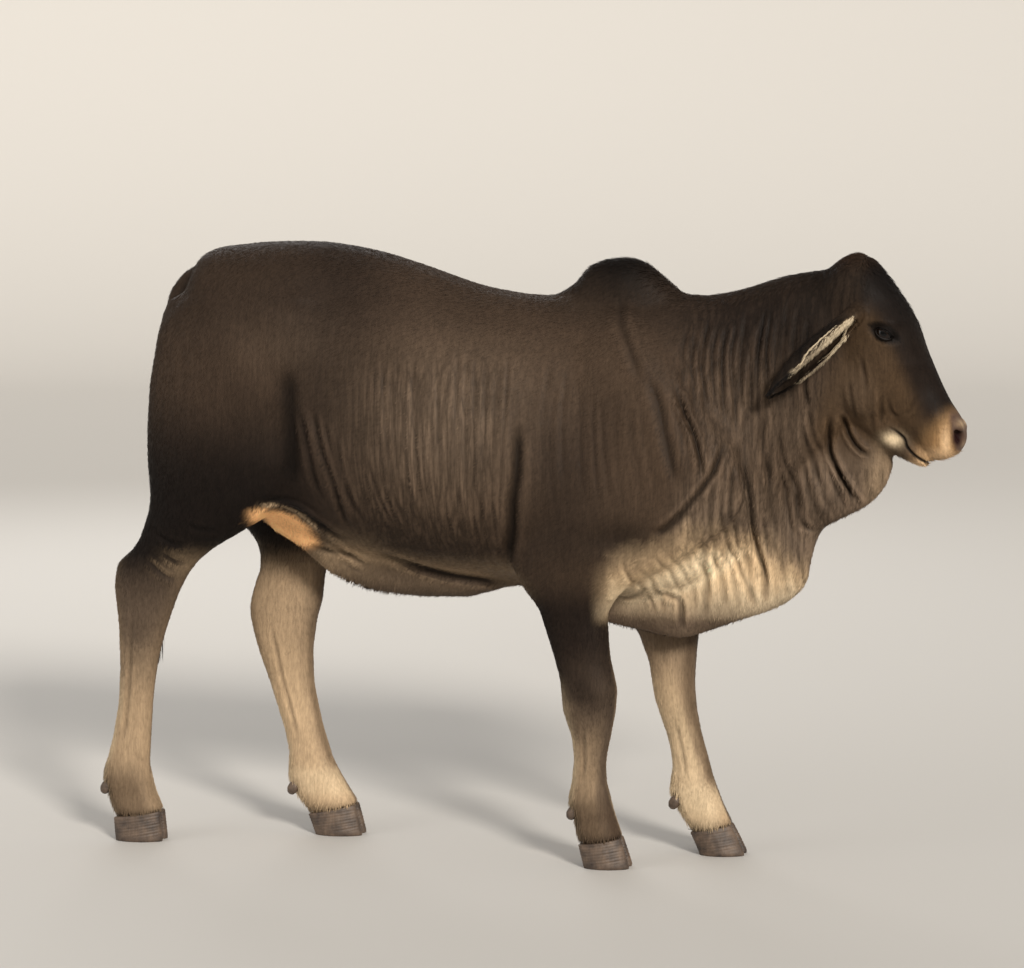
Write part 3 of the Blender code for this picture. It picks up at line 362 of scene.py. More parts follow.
def folds_of(co, way):
    """How far each point stands out for the folds and wrinkles of the hide."""
    rise = np.zeros(len(co))
    facing = {}
    for side in BOTH:
        outward = np.where(co[:, 2] < 0.58, np.abs(way[:, 1]), way[:, 1] * side)
        facing[side] = smoothstep(outward, 0.05, 0.45) * (co[:, 1] * side > 0.002)
    for fold in FOLDS:
        add_fold(rise, co, facing, *fold)
    for first, last, count, depth, width, seed in FANS:
        for line, deeper, wider in fan_lines(first, last, count, seed):
            add_fold(rise, co, facing, line, depth * deeper, width * wider, BOTH, 0.55)
    return rise - MOUTH_DEPTH * mouth_of(co)


def mouth_of(co):
    """1 in the line between the lips, on both sides and round the front."""
    ids, off, along = near_line(curve_of(MOUTH_LINE), co, 0.02)
    depth = np.zeros(len(co))
    ends = smoothstep(along, 0.0, 0.08) * smoothstep(1 - along, 0.0, 0.25)
    depth[ids] = np.exp(-(off / MOUTH_WIDTH) ** 2) * ends
    return depth * (np.abs(co[:, 1]) < HEAD_HALF_WIDTH)


def forms_of(co):
    """How far each point stands out for bones, muscles and ribs."""
    rise = np.zeros(len(co))
    for side in BOTH:
        for place, reach, height in FORMS:
            gap = (co - np.array(place) * (1, side, 1)) / np.array(reach)
            rise += height * np.exp(-np.sum(gap ** 2, axis=1))
    phase = (co[:, 0] + 0.10 * (co[:, 2] - 0.8)) / 0.047
    ribs = smoothstep(co[:, 0], -0.30, -0.20) * smoothstep(-co[:, 0], -0.02, 0.06)
    ribs *= smoothstep(co[:, 2], 0.62, 0.72) * smoothstep(-co[:, 2], -1.02, -0.90)
    return rise + 0.0014 * np.sin(2 * math.pi * phase) * ribs


def wrinkled(co):
    """Where the hide has fine upright wrinkles, from 0 to 1."""
    x, z = co[:, 0], co[:, 2]
    trunk = smoothstep(z, 0.56, 0.64)
    neck = smoothstep(x, 0.30, 0.38) * (1 - in_head(co))
    ribs = smoothstep(x, -0.36, -0.22) * smoothstep(-x, -0.05, 0.05) * smoothstep(-z, -1.04, -0.92)
    return np.clip(trunk * (neck + 0.8 * ribs) + 0.30 * trunk + 0.25 * (1 - trunk), 0, 1)


def eye_place(side):
    low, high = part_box("eye_" + word_of(side))
    return np.array((low + high) / 2)


def round_opening(turns, wider=0.0, higher=0.0):
    """Places round the opening of the lids in the side view, from the middle of the eye."""
    across = (EYE_OPENING[0] + wider) * np.cos(turns)
    high = (EYE_OPENING[1] + higher) * np.sign(np.sin(turns)) * np.abs(np.sin(turns)) ** 1.3
    dx = across * math.cos(EYE_TILT) - high * math.sin(EYE_TILT)
    dz = across * math.sin(EYE_TILT) + high * math.cos(EYE_TILT)
    return dx, dz


def lens(co, centre):
    """Where points lie in the opening of the lids: under 1 inside it, and their height in it."""
    dx, dz = co[:, 0] - centre[0], co[:, 2] - centre[2]
    across = dx * math.cos(EYE_TILT) + dz * math.sin(EYE_TILT)
    high = dz * math.cos(EYE_TILT) - dx * math.sin(EYE_TILT)
    level = (across / EYE_OPENING[0]) ** 2 + np.abs(high / EYE_OPENING[1]) ** 1.54
    return level, high


def set_lids(co, side):
    """Lies the skin over the ball as lids, and drops it behind the ball in the opening."""
    centre = eye_place(side)
    out = co - centre
    far = np.linalg.norm(out, axis=1)
    ids = np.nonzero((far < 0.045) & (co[:, 1] * side > abs(centre[1]) - 0.012))[0]
    level, high = lens(co[ids], centre)
    way = out[ids] / far[ids][:, None]
    lid = EYE_RADIUS + 0.0024 - 0.0010 * np.exp(-((level - 2.3) / 0.5) ** 2)
    lid += 0.0014 * smoothstep(high, 0.0, 0.008) + 0.002 * smoothstep(level, 2.2, 6.0)
    hold = fades(level, 1.8, 5.0)
    goal = far[ids] + (lid - far[ids]) * hold
    inside = level < 1.0
    goal[inside] = EYE_RADIUS - 0.0045 * smoothstep(1.0 - level[inside], 0.0, 0.12) - 0.0005
    co[ids] = centre + way * goal[:, None]


# The hide

GRID = 0.003              # of the fine mesh that the folds are pressed into
SWELL = 0.0006            # closes the gaps between the solids
COAT_DEPTH = 0.0016
EAR_SKIN, EAR_EDGE = 0.0035, 0.005      # how far from an ear's solid its own skin and its surrounds reach
DETAIL_STARTS, DETAIL_ENDS = 0.034, 0.033    # the finer skin round eyes, nose and lips
EYE_REACH, LID_REACH, NOSTRIL_REACH, LIP_REACH = 0.036, 0.026, 0.026, 0.007
HEAD_FACES, DETAIL_FACES, BODY_FACES = 36000, 38000, 106000


def select_points(thing, chosen):
    """Goes into edit mode with these points selected."""
    take(thing)
    mesh = thing.data
    mesh.vertices.foreach_set("select", chosen)
    mesh.edges.foreach_set("select", np.zeros(len(mesh.edges), bool))
    mesh.polygons.foreach_set("select", np.zeros(len(mesh.polygons), bool))
    bpy.ops.object.mode_set(mode="EDIT")
    bpy.ops.mesh.select_mode(type="VERT")


def split_faces(thing, chosen):
    select_points(thing, chosen)
    bpy.ops.mesh.subdivide(number_cuts=1)
    bpy.ops.object.mode_set(mode="OBJECT")


def refine(thing, places, reach):
    """Splits the faces near each place, so that lids and nostrils get fine edges."""
    for place in places:
        split_faces(thing, np.linalg.norm(points_of(thing) - place, axis=1) < reach)


def refine_near(thing, line, reach):
    """The same along a line of the side view, on the head."""
    co = points_of(thing)
    ids, off, _ = near_line(curve_of(line), co, 2 * reach)
    chosen = np.zeros(len(co), bool)
    chosen[ids] = off < reach
    split_faces(thing, chosen & (np.abs(co[:, 1]) < HEAD_HALF_WIDTH))


def thin_out(thing, chosen, goal):
    """Thins the faces among the chosen points to about this many triangles."""
    select_points(thing, chosen)
    bpy.ops.object.mode_set(mode="OBJECT")
    mesh = thing.data
    corners = np.empty(len(mesh.polygons), np.int32)
    picked = np.empty(len(mesh.polygons), bool)
    mesh.polygons.foreach_get("loop_total", corners)
    mesh.polygons.foreach_get("select", picked)
    there = int((corners - 2)[picked].sum())
    bpy.ops.object.mode_set(mode="EDIT")
    bpy.ops.mesh.decimate(ratio=min(goal / there, 1.0))
    bpy.ops.object.mode_set(mode="OBJECT")


EAR_ROOT, EAR_TIP = np.array((0.668, 0.074, 1.082)), np.array((0.510, 0.151, 0.926))
EAR_WAY = (EAR_TIP - EAR_ROOT) / np.linalg.norm(EAR_TIP - EAR_ROOT)
EAR_MOUTH = np.array((0.55, 0.60, -0.35))          # the way that the cup opens


def along_ear(co):
    """How far out along its ear a point lies, 0 at the root and 1 at the tip, and how far off its line."""
    place = folded(co) - EAR_ROOT
    along = place @ EAR_WAY
    off = np.linalg.norm(place - along[:, None] * EAR_WAY, axis=1)
    return along / np.linalg.norm(EAR_TIP - EAR_ROOT), off


def ear_share(co):
    """1 on the free part of an ear. It reads the place alone, and the neck lies out of its reach."""
    along, off = along_ear(co)
    neck = smoothstep(np.abs(co[:, 1]), 0.100 + 0.030 * along, 0.112 + 0.030 * along)
    return np.where((along > 0.02) & (along < 1.12) & (off < 0.045), np.maximum(neck, along > 0.75), 0.0)


def in_head(co):
    """1 on the head in front of the ears, fading out behind the jaw."""
    return smoothstep(co[:, 0] - 0.35 * (co[:, 2] - 0.95), 0.585, 0.625) * smoothstep(co[:, 2], 0.770, 0.790)


def on_legs(co):
    return fades(co[:, 2], 0.40, 0.60)


def on_tail(co):
    """1 on the tail below its root."""
    x, y, z = co.T
    return ((x < -0.695) & (np.abs(y) < 0.026) & (z > 0.30) & (z < 1.04)).astype(float)


def nearest(co, spots):
    """How far each point lies from the nearest of these spots."""
    return np.min([np.linalg.norm(co - spot, axis=1) for spot in spots], axis=0)


def smooth_hide(hide):
    """Melts the facets away, least on head, legs and tail, and not on the thin ears."""
    co = points_of(hide)
    ears = near_nodes(co, EARS, EAR_SKIN).astype(float)
    legs = fades(co[:, 2], 0.42, 0.62)
    weight = 1.0 - 0.70 * in_head(co) - 0.65 * legs
    smooth_by(hide, np.clip(weight, 0.1, 1) * (1 - ears) * (1 - 0.8 * on_tail(co)), 90)
    smooth_by(hide, np.where(ears > 0, 0.5, 1.0), 3)


def press_relief(hide):
    """Sinks the skin by the coat's depth, presses in folds and muscles, and sets the lids."""
    co, way = points_of(hide), normals_of(hide)
    ears = near_nodes(co, EARS, EAR_SKIN)
    fine = np.maximum(ears, in_head(co) * 0.6)
    depth = COAT_DEPTH * (1 - fine) * smoothstep(co[:, 2], 0.06, 0.12)
    co += way * (((folds_of(co, way) + forms_of(co)) * ~ears - depth)[:, None])
    for side in BOTH:
        set_lids(co, side)
    set_points(hide, co)


def thin_hide(hide, spots):
    """Thins the head, then the places round eyes, nose and lips, then the body."""
    co = points_of(hide)
    ears = near_nodes(co, EARS, EAR_EDGE)
    thin_out(hide, (in_head(co) > 0.5) & (nearest(co, spots) >= DETAIL_STARTS) | ears, HEAD_FACES)
    thin_out(hide, nearest(points_of(hide), spots) < DETAIL_ENDS, DETAIL_FACES)
    co = points_of(hide)
    thin_out(hide, (in_head(co) <= 0.5) & ~near_nodes(co, EARS, EAR_EDGE), BODY_FACES)


def build_hide():
    """One closed skin in place of all the flesh."""
    hide = joined("hide", FLESH + ["eye_right", "eye_left"])
    voxelled(hide, GRID, SWELL)
    smooth_hide(hide)
    eyes = [eye_place(side) for side in BOTH]
    noses = [np.array(NOSTRIL) * (1, side, 1) for side in BOTH]
    lips = [np.array((x, side * 0.036, z)) for x, z in MOUTH_LINE[1:] for side in BOTH]
    refine(hide, eyes, EYE_REACH)
    refine(hide, noses, NOSTRIL_REACH)
    refine(hide, eyes, LID_REACH)
    refine_near(hide, MOUTH_LINE, LIP_REACH)
    press_relief(hide)
    thin_hide(hide, eyes + noses + lips)
    hide.data.shade_smooth()
    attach(hide, "root")
    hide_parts(*FLESH)
    return hide


# Colours of the coat, as they look in daylight, red, green and blue from 0 to 255

CHARCOAL = (33, 25, 20)
UMBER = (68, 54, 42)
ASH = (103, 87, 72)
TAUPE = (170, 145, 115)
PALE = (196, 168, 132)
BLACK = (14, 10, 8)
TAN = (150, 116, 78)
LIP = (226, 190, 148)
RUST = (50, 29, 15)
PEACH = (255, 196, 136)
BONE = (240, 218, 182)
EAR_HAIR = (186, 169, 142)
CREAM = (214, 192, 158)
OLIVE = (70, 54, 38)
NOSE_SKIN = (74, 58, 52)
# painted shade of the nostrils' openings
NOSTRIL_SHADE = (30, 11, 10)
LID_BLACK = (15, 11, 10)

# Where the pale dewlap begins, in the side view
BRISKET_EDGE = ((0.150, 0.560), (0.215, 0.613), (0.292, 0.640), (0.367, 0.680), (0.431, 0.672),
                (0.498, 0.640), (0.554, 0.612), (0.600, 0.590))


def daylight(colour):
    """A colour of 0 to 255 as the light that it sends back."""
    value = np.array(colour) / 255
    return np.where(value < 0.04045, value / 12.92, ((value + 0.055) / 1.055) ** 2.4)


def level_of(edge, x):
    """The height of an edge of the side view at each x."""
    return np.interp(x, [point[0] for point in edge], [point[1] for point in edge])


def blob(co, place, reach):
    """A soft patch on both sides of the body: 1 at its middle."""
    gap = (folded(co) - np.array(place)) / np.array(reach)
    return np.exp(-np.sum(gap ** 2, axis=1))


def cloud(co, scale, seed):
    """Slow chance variation over the body, from -1 to 1."""
    chance = np.random.default_rng(seed)
    total = np.zeros(len(co))
    for _ in range(10):
        way = chance.normal(size=3)
        way *= scale * chance.uniform(0.5, 1.6) / np.linalg.norm(way)
        total += np.sin(co @ way + chance.uniform(0, 2 * math.pi))
    return total / 10 * 1.6


class Paint:
    """The animal's colours at each point, laid on as washes one over another."""

    def __init__(self, co, way):
        self.co, self.way = co, way
        self.x, self.z, self.side = co[:, 0], co[:, 2], np.abs(co[:, 1])
        self.face = smoothstep(self.x - 0.35 * (self.z - 0.95), 0.585, 0.640) * smoothstep(self.z, 0.76, 0.88)
        self.trunk = smoothstep(self.z, 0.50, 0.60) * (1 - self.face)
        self.colours = np.tile(daylight(CHARCOAL), (len(co), 1))

    def wash(self, colour, share):
        share = np.clip(share, 0, 1)[:, None]
        self.colours = self.colours * (1 - share) + daylight(colour) * share

    def patch(self, colour, share, place, reach):
        """A wash that is strongest at one place, on both sides of the body."""
        self.wash(colour, share * blob(self.co, place, reach))


def paint_trunk(paint):
    """Brown-grey, ashen over the ribs (partly coat colour, partly a painted sheen), with a painted highlight
    on the hip, black on hump, neck and thigh, painted shade in the hollow behind the elbow, paler under the
    belly.
    """
    x, z, trunk, wash, patch = paint.x, paint.z, paint.trunk, paint.wash, paint.patch
    wash(UMBER, 0.90 * trunk * smoothstep(x, -0.48, -0.10))
    wash(UMBER, 0.55 * trunk * smoothstep(-x, 0.30, 0.50) * smoothstep(z, 0.72, 0.98))
    # ash over the ribs: partly the coat's own brown-grey, partly a painted sheen
    patch(ASH, 0.75 * trunk, (-0.10, 0.19, 0.86), (0.17, 0.10, 0.15))
    # painted highlight on the hip bone
    patch(ASH, 0.25 * trunk, (-0.42, 0.12, 1.02), (0.10, 0.10, 0.06))
    wash(ASH, 0.35 * trunk * smoothstep(x, 0.33, 0.47) * smoothstep(-z, -1.05, -0.90))
    wash(CHARCOAL, 0.35 * trunk * smoothstep(z, 0.98, 1.10))
    wash(BLACK, 0.75 * trunk * smoothstep(-x, 0.36, 0.50) * smoothstep(-z, -0.92, -0.72))
    patch(CHARCOAL, 0.60, (0.12, 0.19, 0.80), (0.10, 0.10, 0.14))
    patch(BLACK, 0.98, (0.205, 0.02, 1.16), (0.12, 0.09, 0.09))
    patch(CHARCOAL, 0.95, (0.46, 0.04, 1.06), (0.16, 0.12, 0.10))
    patch(BLACK, 0.35, (0.56, 0.04, 1.10), (0.10, 0.12, 0.07))
    # painted shade: black in the hollow behind the elbow
    patch(BLACK, 0.60, (0.235, 0.18, 0.65), (0.07, 0.06, 0.040))
    patch(CHARCOAL, 0.60 * trunk, (0.120, 0.18, 0.66), (0.08, 0.08, 0.09))
    flank = smoothstep(x, -0.34, -0.22) * smoothstep(-x, -0.12, -0.04)
    wash(CHARCOAL, 0.55 * trunk * smoothstep(-z, -0.74, -0.60) * flank)
    belly = trunk * smoothstep(-z, -0.62, -0.54) * smoothstep(-x, -0.10, 0.0)
    wash(TAUPE, 0.65 * smoothstep(-paint.way[:, 2], 0.10, 0.60) * belly)


def paint_dewlap(paint):
    """Cream on the brisket and the dewlap's fold, greyer up the throat, with painted light where the dewlap
    faces down.
    """
    x, z, co, wash = paint.x, paint.z, paint.co, paint.wash
    under = level_of(BRISKET_EDGE, x) - z
    under += 0.014 * cloud(co, 60, 2) + 0.016 * cloud(co * (3.0, 1, 0.6), 90, 7)
    wash(ASH, 0.85 * smoothstep(under, -0.13, -0.01) * smoothstep(x, 0.30, 0.40) * paint.trunk)
    front = smoothstep(x, 0.165, 0.235) * smoothstep(z, 0.475, 0.50)
    wash(PALE, 0.95 * smoothstep(under, -0.030, 0.075) * front)
    wash(CREAM, 0.45 * smoothstep(under, 0.060, 0.130) * front)
    throat = smoothstep(x, 0.52, 0.60) * smoothstep(z, 0.66, 0.74) * smoothstep(-z, -0.92, -0.84)
    wash(ASH, 0.70 * throat * (1 - paint.face))
    paint.patch(TAUPE, 0.65, (0.700, 0.0, 0.775), (0.022, 0.030, 0.060))
    # painted light: the down-facing underside of the brisket lightened against its shade
    wash(BONE, 0.85 * smoothstep(under, 0.03, 0.10) * front * smoothstep(-paint.way[:, 2], 0.0, 0.50))


def paint_groin(paint):
    """The bare patch of skin behind the flank, which shows on the side of the leg set back, with a painted
    shadow line above its rim and painted shade in its middle.
    """
    x, z, co, wash = paint.x, paint.z, paint.co, paint.wash
    paint.patch(TAUPE, 0.60 * paint.trunk, (-0.330, 0.06, 0.590), (0.085, 0.09, 0.040))
    gap = np.hypot((x + 0.465 + 0.35 * (z - 0.64)) / 0.060, (z - 0.642 + 0.15 * (x + 0.465)) / 0.042)
    seen = (x < -0.36) * smoothstep(-co[:, 1], -0.10, -0.05)
    above = smoothstep(z, 0.625, 0.655) * smoothstep(x, -0.505, -0.470) * seen
    # painted shadow: a dark line along the outside of the fold's rim
    wash(BLACK, 0.85 * above * np.exp(-((gap - 1.62) / 0.18) ** 2))
    wash(TAUPE, 0.75 * above * np.exp(-((gap - 1.22) / 0.09) ** 2))
    seen = seen * (z > 0.56)
    wash(PEACH, fades(gap + 0.10 * cloud(co, 90, 9), 0.70, 1.15) * seen * smoothstep(x, -0.530, -0.500))
    # painted shade: the middle of the patch darkened as the fold's hollow
    wash(TAN, 0.30 * fades(gap, 0.0, 0.7) * seen)


def paint_legs(paint):
    """Pale inside and behind, darker outside and in front, with dark fetlocks on the outer faces."""
    x, z, co, way, wash = paint.x, paint.z, paint.co, paint.way, paint.wash
    leg = fades(z, 0.46, 0.60)
    hind = smoothstep(-x, 0.05, 0.10)
    fore = 1 - hind
    upper = smoothstep(z, 0.28, 0.42)
    outer = upper * smoothstep(paint.side, 0.080, 0.118)
    outer += (1 - upper) * smoothstep(way[:, 1] * np.sign(co[:, 1]), -0.35, 0.35)
    inner = 1 - outer
    ahead = smoothstep(way[:, 0], 0.10, 0.85)
    behind = smoothstep(-way[:, 0], 0.35, 0.90)
    wash(ASH, 0.85 * leg * inner)
    wash(TAUPE, 0.90 * leg * inner * fades(z, 0.30, 0.47))
    wash(CREAM, 0.40 * leg * inner * fades(z, 0.20, 0.42) * (1 - ahead) * (1 - 0.75 * hind))
    wash(UMBER, 0.75 * leg * inner * ahead * smoothstep(z, 0.10, 0.16))
    wash(TAUPE, 0.70 * hind * inner * fades(z, 0.50, 0.60) * (x < -0.38) * (1 - 0.75 * ahead))
    wash(ASH, 0.55 * leg * hind * outer)
    wash(TAUPE, 0.72 * hind * outer * fades(z + 0.03 * cloud(co, 40, 12), 0.26, 0.44))
    wash(BLACK, 0.35 * leg * fore * outer * smoothstep(z, 0.38, 0.50))
    wash(ASH, 0.55 * fore * outer * fades(z + 0.05 * cloud(co, 60, 13), 0.26, 0.44))
    wash(TAUPE, 0.48 * fore * outer * fades(z + 0.04 * cloud(co, 60, 14), 0.16, 0.34) * (1 - ahead))
    wash(CREAM, 0.55 * leg * behind * fades(z, 0.26, 0.40))
    wash(CREAM, 0.35 * fades(np.abs(z - 0.110), 0.012, 0.040) * inner)
    wash(UMBER, 0.75 * outer * fore * fades(z, 0.100, 0.170))
    wash(UMBER, 0.70 * outer * hind * fades(z, 0.110, 0.190) * (1 - 0.5 * ahead))
    wash(CHARCOAL, 0.55 * fades(z, 0.052, 0.076))


def paint_head(paint):
    """An olive cheek, a black forehead and poll, a tan muzzle, the dark nose, lips and lids, with painted
    light and shade: the ear's shadow on the neck, highlights on the nose, shade in the nostrils, between the
    lips and under the brow.
    """
    x, z, co, face, wash, patch = paint.x, paint.z, paint.co, paint.face, paint.wash, paint.patch
    head = in_head(co)
    brow, bridge = z + 0.35 * x, x + 0.42 * (z - 0.95)
    wash(OLIVE, 0.92 * face)
    patch(ASH, 0.28 * face, (0.655, 0.075, 0.93), (0.050, 0.05, 0.075))
    wash(CHARCOAL, 0.90 * head * smoothstep(brow, 1.29, 1.36))
    wash(CHARCOAL, 0.95 * head * smoothstep(bridge, 0.742, 0.778))
    wash(BLACK, 0.70 * head * smoothstep(brow, 1.30, 1.38))
    wash(BLACK, 0.50 * head * smoothstep(bridge, 0.760, 0.800) * smoothstep(z, 0.87, 0.92))
    patch(BLACK, 0.85, (0.615, 0.0, 1.150), (0.080, 0.080, 0.060))
    patch(RUST, 0.55, (0.640, 0.0, 1.185), (0.035, 0.040, 0.025))
    # painted shadow of the ear on the neck
    patch(BLACK, 0.60, (0.572, 0.09, 1.020), (0.022, 0.050, 0.040))
    # muzzle, nose with painted highlights, and nostrils in painted shade
    muzzle = smoothstep(x - 0.45 * (z - 0.85) + 0.006 * cloud(co, 90, 21), 0.762, 0.830)
    muzzle *= smoothstep(z, 0.74, 0.76)
    wash(TAN, 0.90 * muzzle * fades(z - 0.35 * (x - 0.80) + 0.006 * cloud(co, 90, 22), 0.850, 0.905))
    patch(LIP, 0.60 * muzzle, (0.815, 0.038, 0.815), (0.040, 0.040, 0.013))
    patch(LIP, 0.80 * (x < 0.845), (0.832, 0.050, 0.838), (0.009, 0.026, 0.030))
    nose = smoothstep(x + 0.20 * (z - 0.85), 0.838, 0.850) * smoothstep(z, 0.812, 0.826)
    wash(NOSE_SKIN, 0.90 * nose * fades(z, 0.885, 0.905))
    # painted highlights on the wet nose pad
    patch(PALE, 0.60 * nose, (0.862, 0.024, 0.873), (0.014, 0.022, 0.008))
    patch(PALE, 0.40 * nose, (0.868, 0.020, 0.832), (0.008, 0.020, 0.008))
    # painted shade: the nostril opening, which the mesh does not hollow, painted dark
    patch(NOSTRIL_SHADE, 1.5, (0.853, 0.040, 0.849), (0.0095, 0.016, 0.0165))
    # jaw, lower lip, the line between the lips in painted shade, and the lids with painted shade above them
    patch(CREAM, 1.3, (0.728, 0.045, 0.840), (0.019, 0.036, 0.013))
    patch(LIP, 1.10, (0.782, 0.026, 0.794), (0.026, 0.030, 0.008))
    # painted shade: black in the groove between the lips
    wash(BLACK, 0.90 * np.clip(mouth_of(co) * 1.3, 0, 1))
    # black lid skin round each eye, reaching further above it as painted shade under the brow
    for place in map(eye_place, BOTH):
        level, high = lens(co, place)
        near = np.linalg.norm(co - place, axis=1) < 0.05
        wash(BLACK, 0.92 * fades(level - 1.2 * (high > 0), 1.6, 4.2) * near)


def paint_ears(paint):
    """Black outside and at the tip, pale in the cup, with a light edge where the cup closes."""
    side, way, wash = paint.co[:, 1], paint.way, paint.wash
    ear = ear_share(paint.co)
    into = [way @ unit(EAR_MOUTH[None] * (1, number, 1))[0] for number in (1, -1)]
    cup = ear * smoothstep(into[0] * (side > 0) + into[1] * (side < 0), 0.25, 0.65)
    along = along_ear(paint.co)[0]
    wash(BLACK, 0.75 * ear * np.maximum(1 - cup, smoothstep(along, 0.70, 0.80)))
    wash(TAUPE, 0.60 * cup * fades(along, 0.34, 0.46))
    wash(ASH, 0.70 * cup * smoothstep(along, 0.40, 0.50) * fades(along, 0.66, 0.74))
    wash(BONE, 0.70 * cup * np.exp(-((along - 0.73) / 0.022) ** 2))


def markings(co, way):
    """The animal's colours at each point, shared by its hide and its coat: painted shade in the folds,
    painted highlights on their ridges, and clouded.
    """
    paint = Paint(co, way)
    for part in (paint_trunk, paint_dewlap, paint_groin, paint_legs, paint_head, paint_ears):
        part(paint)
    # painted shade sinks into the folds and a painted highlight lies on their ridges
    relief = folds_of(co, way) * 135
    crease_shade, ridge_highlight = np.exp(1.15 * np.maximum(relief, -1.4)), 1 + 0.9 * np.minimum(relief, 0.35)
    clouds = 1 + 0.10 * cloud(co, 45, 4) + 0.06 * cloud(co, 220, 5)
    return paint.colours * (np.where(relief < 0, crease_shade, ridge_highlight) * clouds)[:, None]


def write_wrinkles(thing, share):
    mark = thing.data.attributes.new("wrinkled", "FLOAT", "POINT")
    mark.data.foreach_set("value", share.astype(np.float32))


def write_colours(thing, colours):
    mark = thing.data.color_attributes.new("markings", "FLOAT_COLOR", "POINT")
    full = np.ones((len(colours), 4), np.float32)
    full[:, :3] = np.clip(colours, 0, 1)
    mark.data.foreach_set("color", full.ravel())


# Materials

def new_paint(name):
    paint = bpy.data.materials.new(name)
    paint.use_nodes = True
    nodes, links = paint.node_tree.nodes, paint.node_tree.links
    return paint, nodes, links, nodes["Principled BSDF"]


def noise_at(nodes, links, scale, stretch=(1, 1, 1), detail=3.0, turn=(0, 0, 0)):
    """Noise on the object's own coordinates, drawn out along an axis."""
    place = nodes.new("ShaderNodeTexCoord")
    move = nodes.new("ShaderNodeMapping")
    move.inputs["Scale"].default_value = stretch
    move.inputs["Rotation"].default_value = turn
    grain = nodes.new("ShaderNodeTexNoise")
    grain.inputs["Scale"].default_value = scale
    grain.inputs["Detail"].default_value = detail
    links.new(place.outputs["Object"], move.inputs["Vector"])
    links.new(move.outputs["Vector"], grain.inputs["Vector"])
    return grain.outputs["Fac"]


def between(nodes, links, value, low, high, out_low, out_high):
    step = nodes.new("ShaderNodeMapRange")
    for name, number in (("From Min", low), ("From Max", high), ("To Min", out_low), ("To Max", out_high)):
        step.inputs[name].default_value = number
    links.new(value, step.inputs["Value"])
    return step.outputs["Result"]


def times(nodes, links, colour, value):
    """A colour made lighter or darker by a value."""
    mix = nodes.new("ShaderNodeMix")
    mix.data_type = "RGBA"
    mix.blend_type = "MULTIPLY"
    mix.inputs["Factor"].default_value = 1.0
    links.new(colour, mix.inputs["A"])
    links.new(value, mix.inputs["B"])
    return mix.outputs["Result"]


def bump(nodes, links, height, strength, distance, before=None):
    step = nodes.new("ShaderNodeBump")
    step.inputs["Strength"].default_value = strength
    step.inputs["Distance"].default_value = distance
    links.new(height, step.inputs["Height"])
    if before:
        links.new(before, step.inputs["Normal"])
    return step.outputs["Normal"]


def coat_paint(name, bumpy):
    """Short hair: the markings, streaked along the lie, over a hide of fine wrinkles, with painted shade in
    the wrinkles' creases.
    """
    paint, nodes, links, shader = new_paint(name)
    mark = nodes.new("ShaderNodeVertexColor")
    mark.layer_name = "markings"
    place = nodes.new("ShaderNodeAttribute")
    place.attribute_name = "wrinkled"
    streak = noise_at(nodes, links, 78, (1.0, 0.5, 0.085), 3.0, (0, 0.10, 0))
    ridge = nodes.new("ShaderNodeMath")
    ridge.operation = "PINGPONG"
    ridge.inputs[1].default_value = 0.5
    links.new(streak, ridge.inputs[0])
    crease = between(nodes, links, ridge.outputs[0], 0.36, 0.50, 0.0, 1.0)
    shade = nodes.new("ShaderNodeMath")
    shade.operation = "MULTIPLY"
    links.new(crease, shade.inputs[0])
    links.new(place.outputs["Fac"], shade.inputs[1])
    # painted shade: the colour darkens in the creases of the fine wrinkles
    depth = between(nodes, links, shade.outputs[0], 0, 1, 1.16, 0.66)
    colour = times(nodes, links, mark.outputs["Color"], depth)
    fine = noise_at(nodes, links, 300, (1.0, 1.0, 0.20), 2.0)
    colour = times(nodes, links, colour, between(nodes, links, fine, 0.3, 0.7, 0.86, 1.14))
    links.new(colour, shader.inputs["Base Color"])
    links.new(between(nodes, links, fine, 0.3, 0.7, 0.52, 0.66), shader.inputs["Roughness"])
    shader.inputs["Specular IOR Level"].default_value = 0.09
    if bumpy:
        folds = bump(nodes, links, shade.outputs[0], -0.85, 0.0045)
        hair = noise_at(nodes, links, 420, (1.0, 1.0, 0.16), 3.0)
        links.new(bump(nodes, links, hair, 0.35, 0.0010, folds), shader.inputs["Normal"])
    return paint


def horn_paint():
    """Hoof wall: dull grey-brown horn, with faint rings and a fine upright grain."""
    paint, nodes, links, shader = new_paint("hoof_horn")
    grain = noise_at(nodes, links, 300, (1, 1, 0.12), 3.0)
    worn = noise_at(nodes, links, 40, detail=4.0)
    rings = noise_at(nodes, links, 16, (0.3, 0.3, 9.0), 2.0)
    ramp = nodes.new("ShaderNodeValToRGB")
    ramp.color_ramp.elements[0].color = (*daylight((52, 42, 36)), 1)
    ramp.color_ramp.elements[1].color = (*daylight((104, 86, 71)), 1)
    links.new(between(nodes, links, worn, 0.3, 0.7, 0, 1), ramp.inputs["Fac"])
    colour = times(nodes, links, ramp.outputs["Color"], between(nodes, links, grain, 0.3, 0.7, 0.82, 1.12))
    colour = times(nodes, links, colour, between(nodes, links, rings, 0.3, 0.7, 0.90, 1.08))
    links.new(colour, shader.inputs["Base Color"])
    shader.inputs["Roughness"].default_value = 0.58
    first = bump(nodes, links, rings, 0.3, 0.0008)
    links.new(bump(nodes, links, grain, 0.2, 0.0003, first), shader.inputs["Normal"])
    return paint


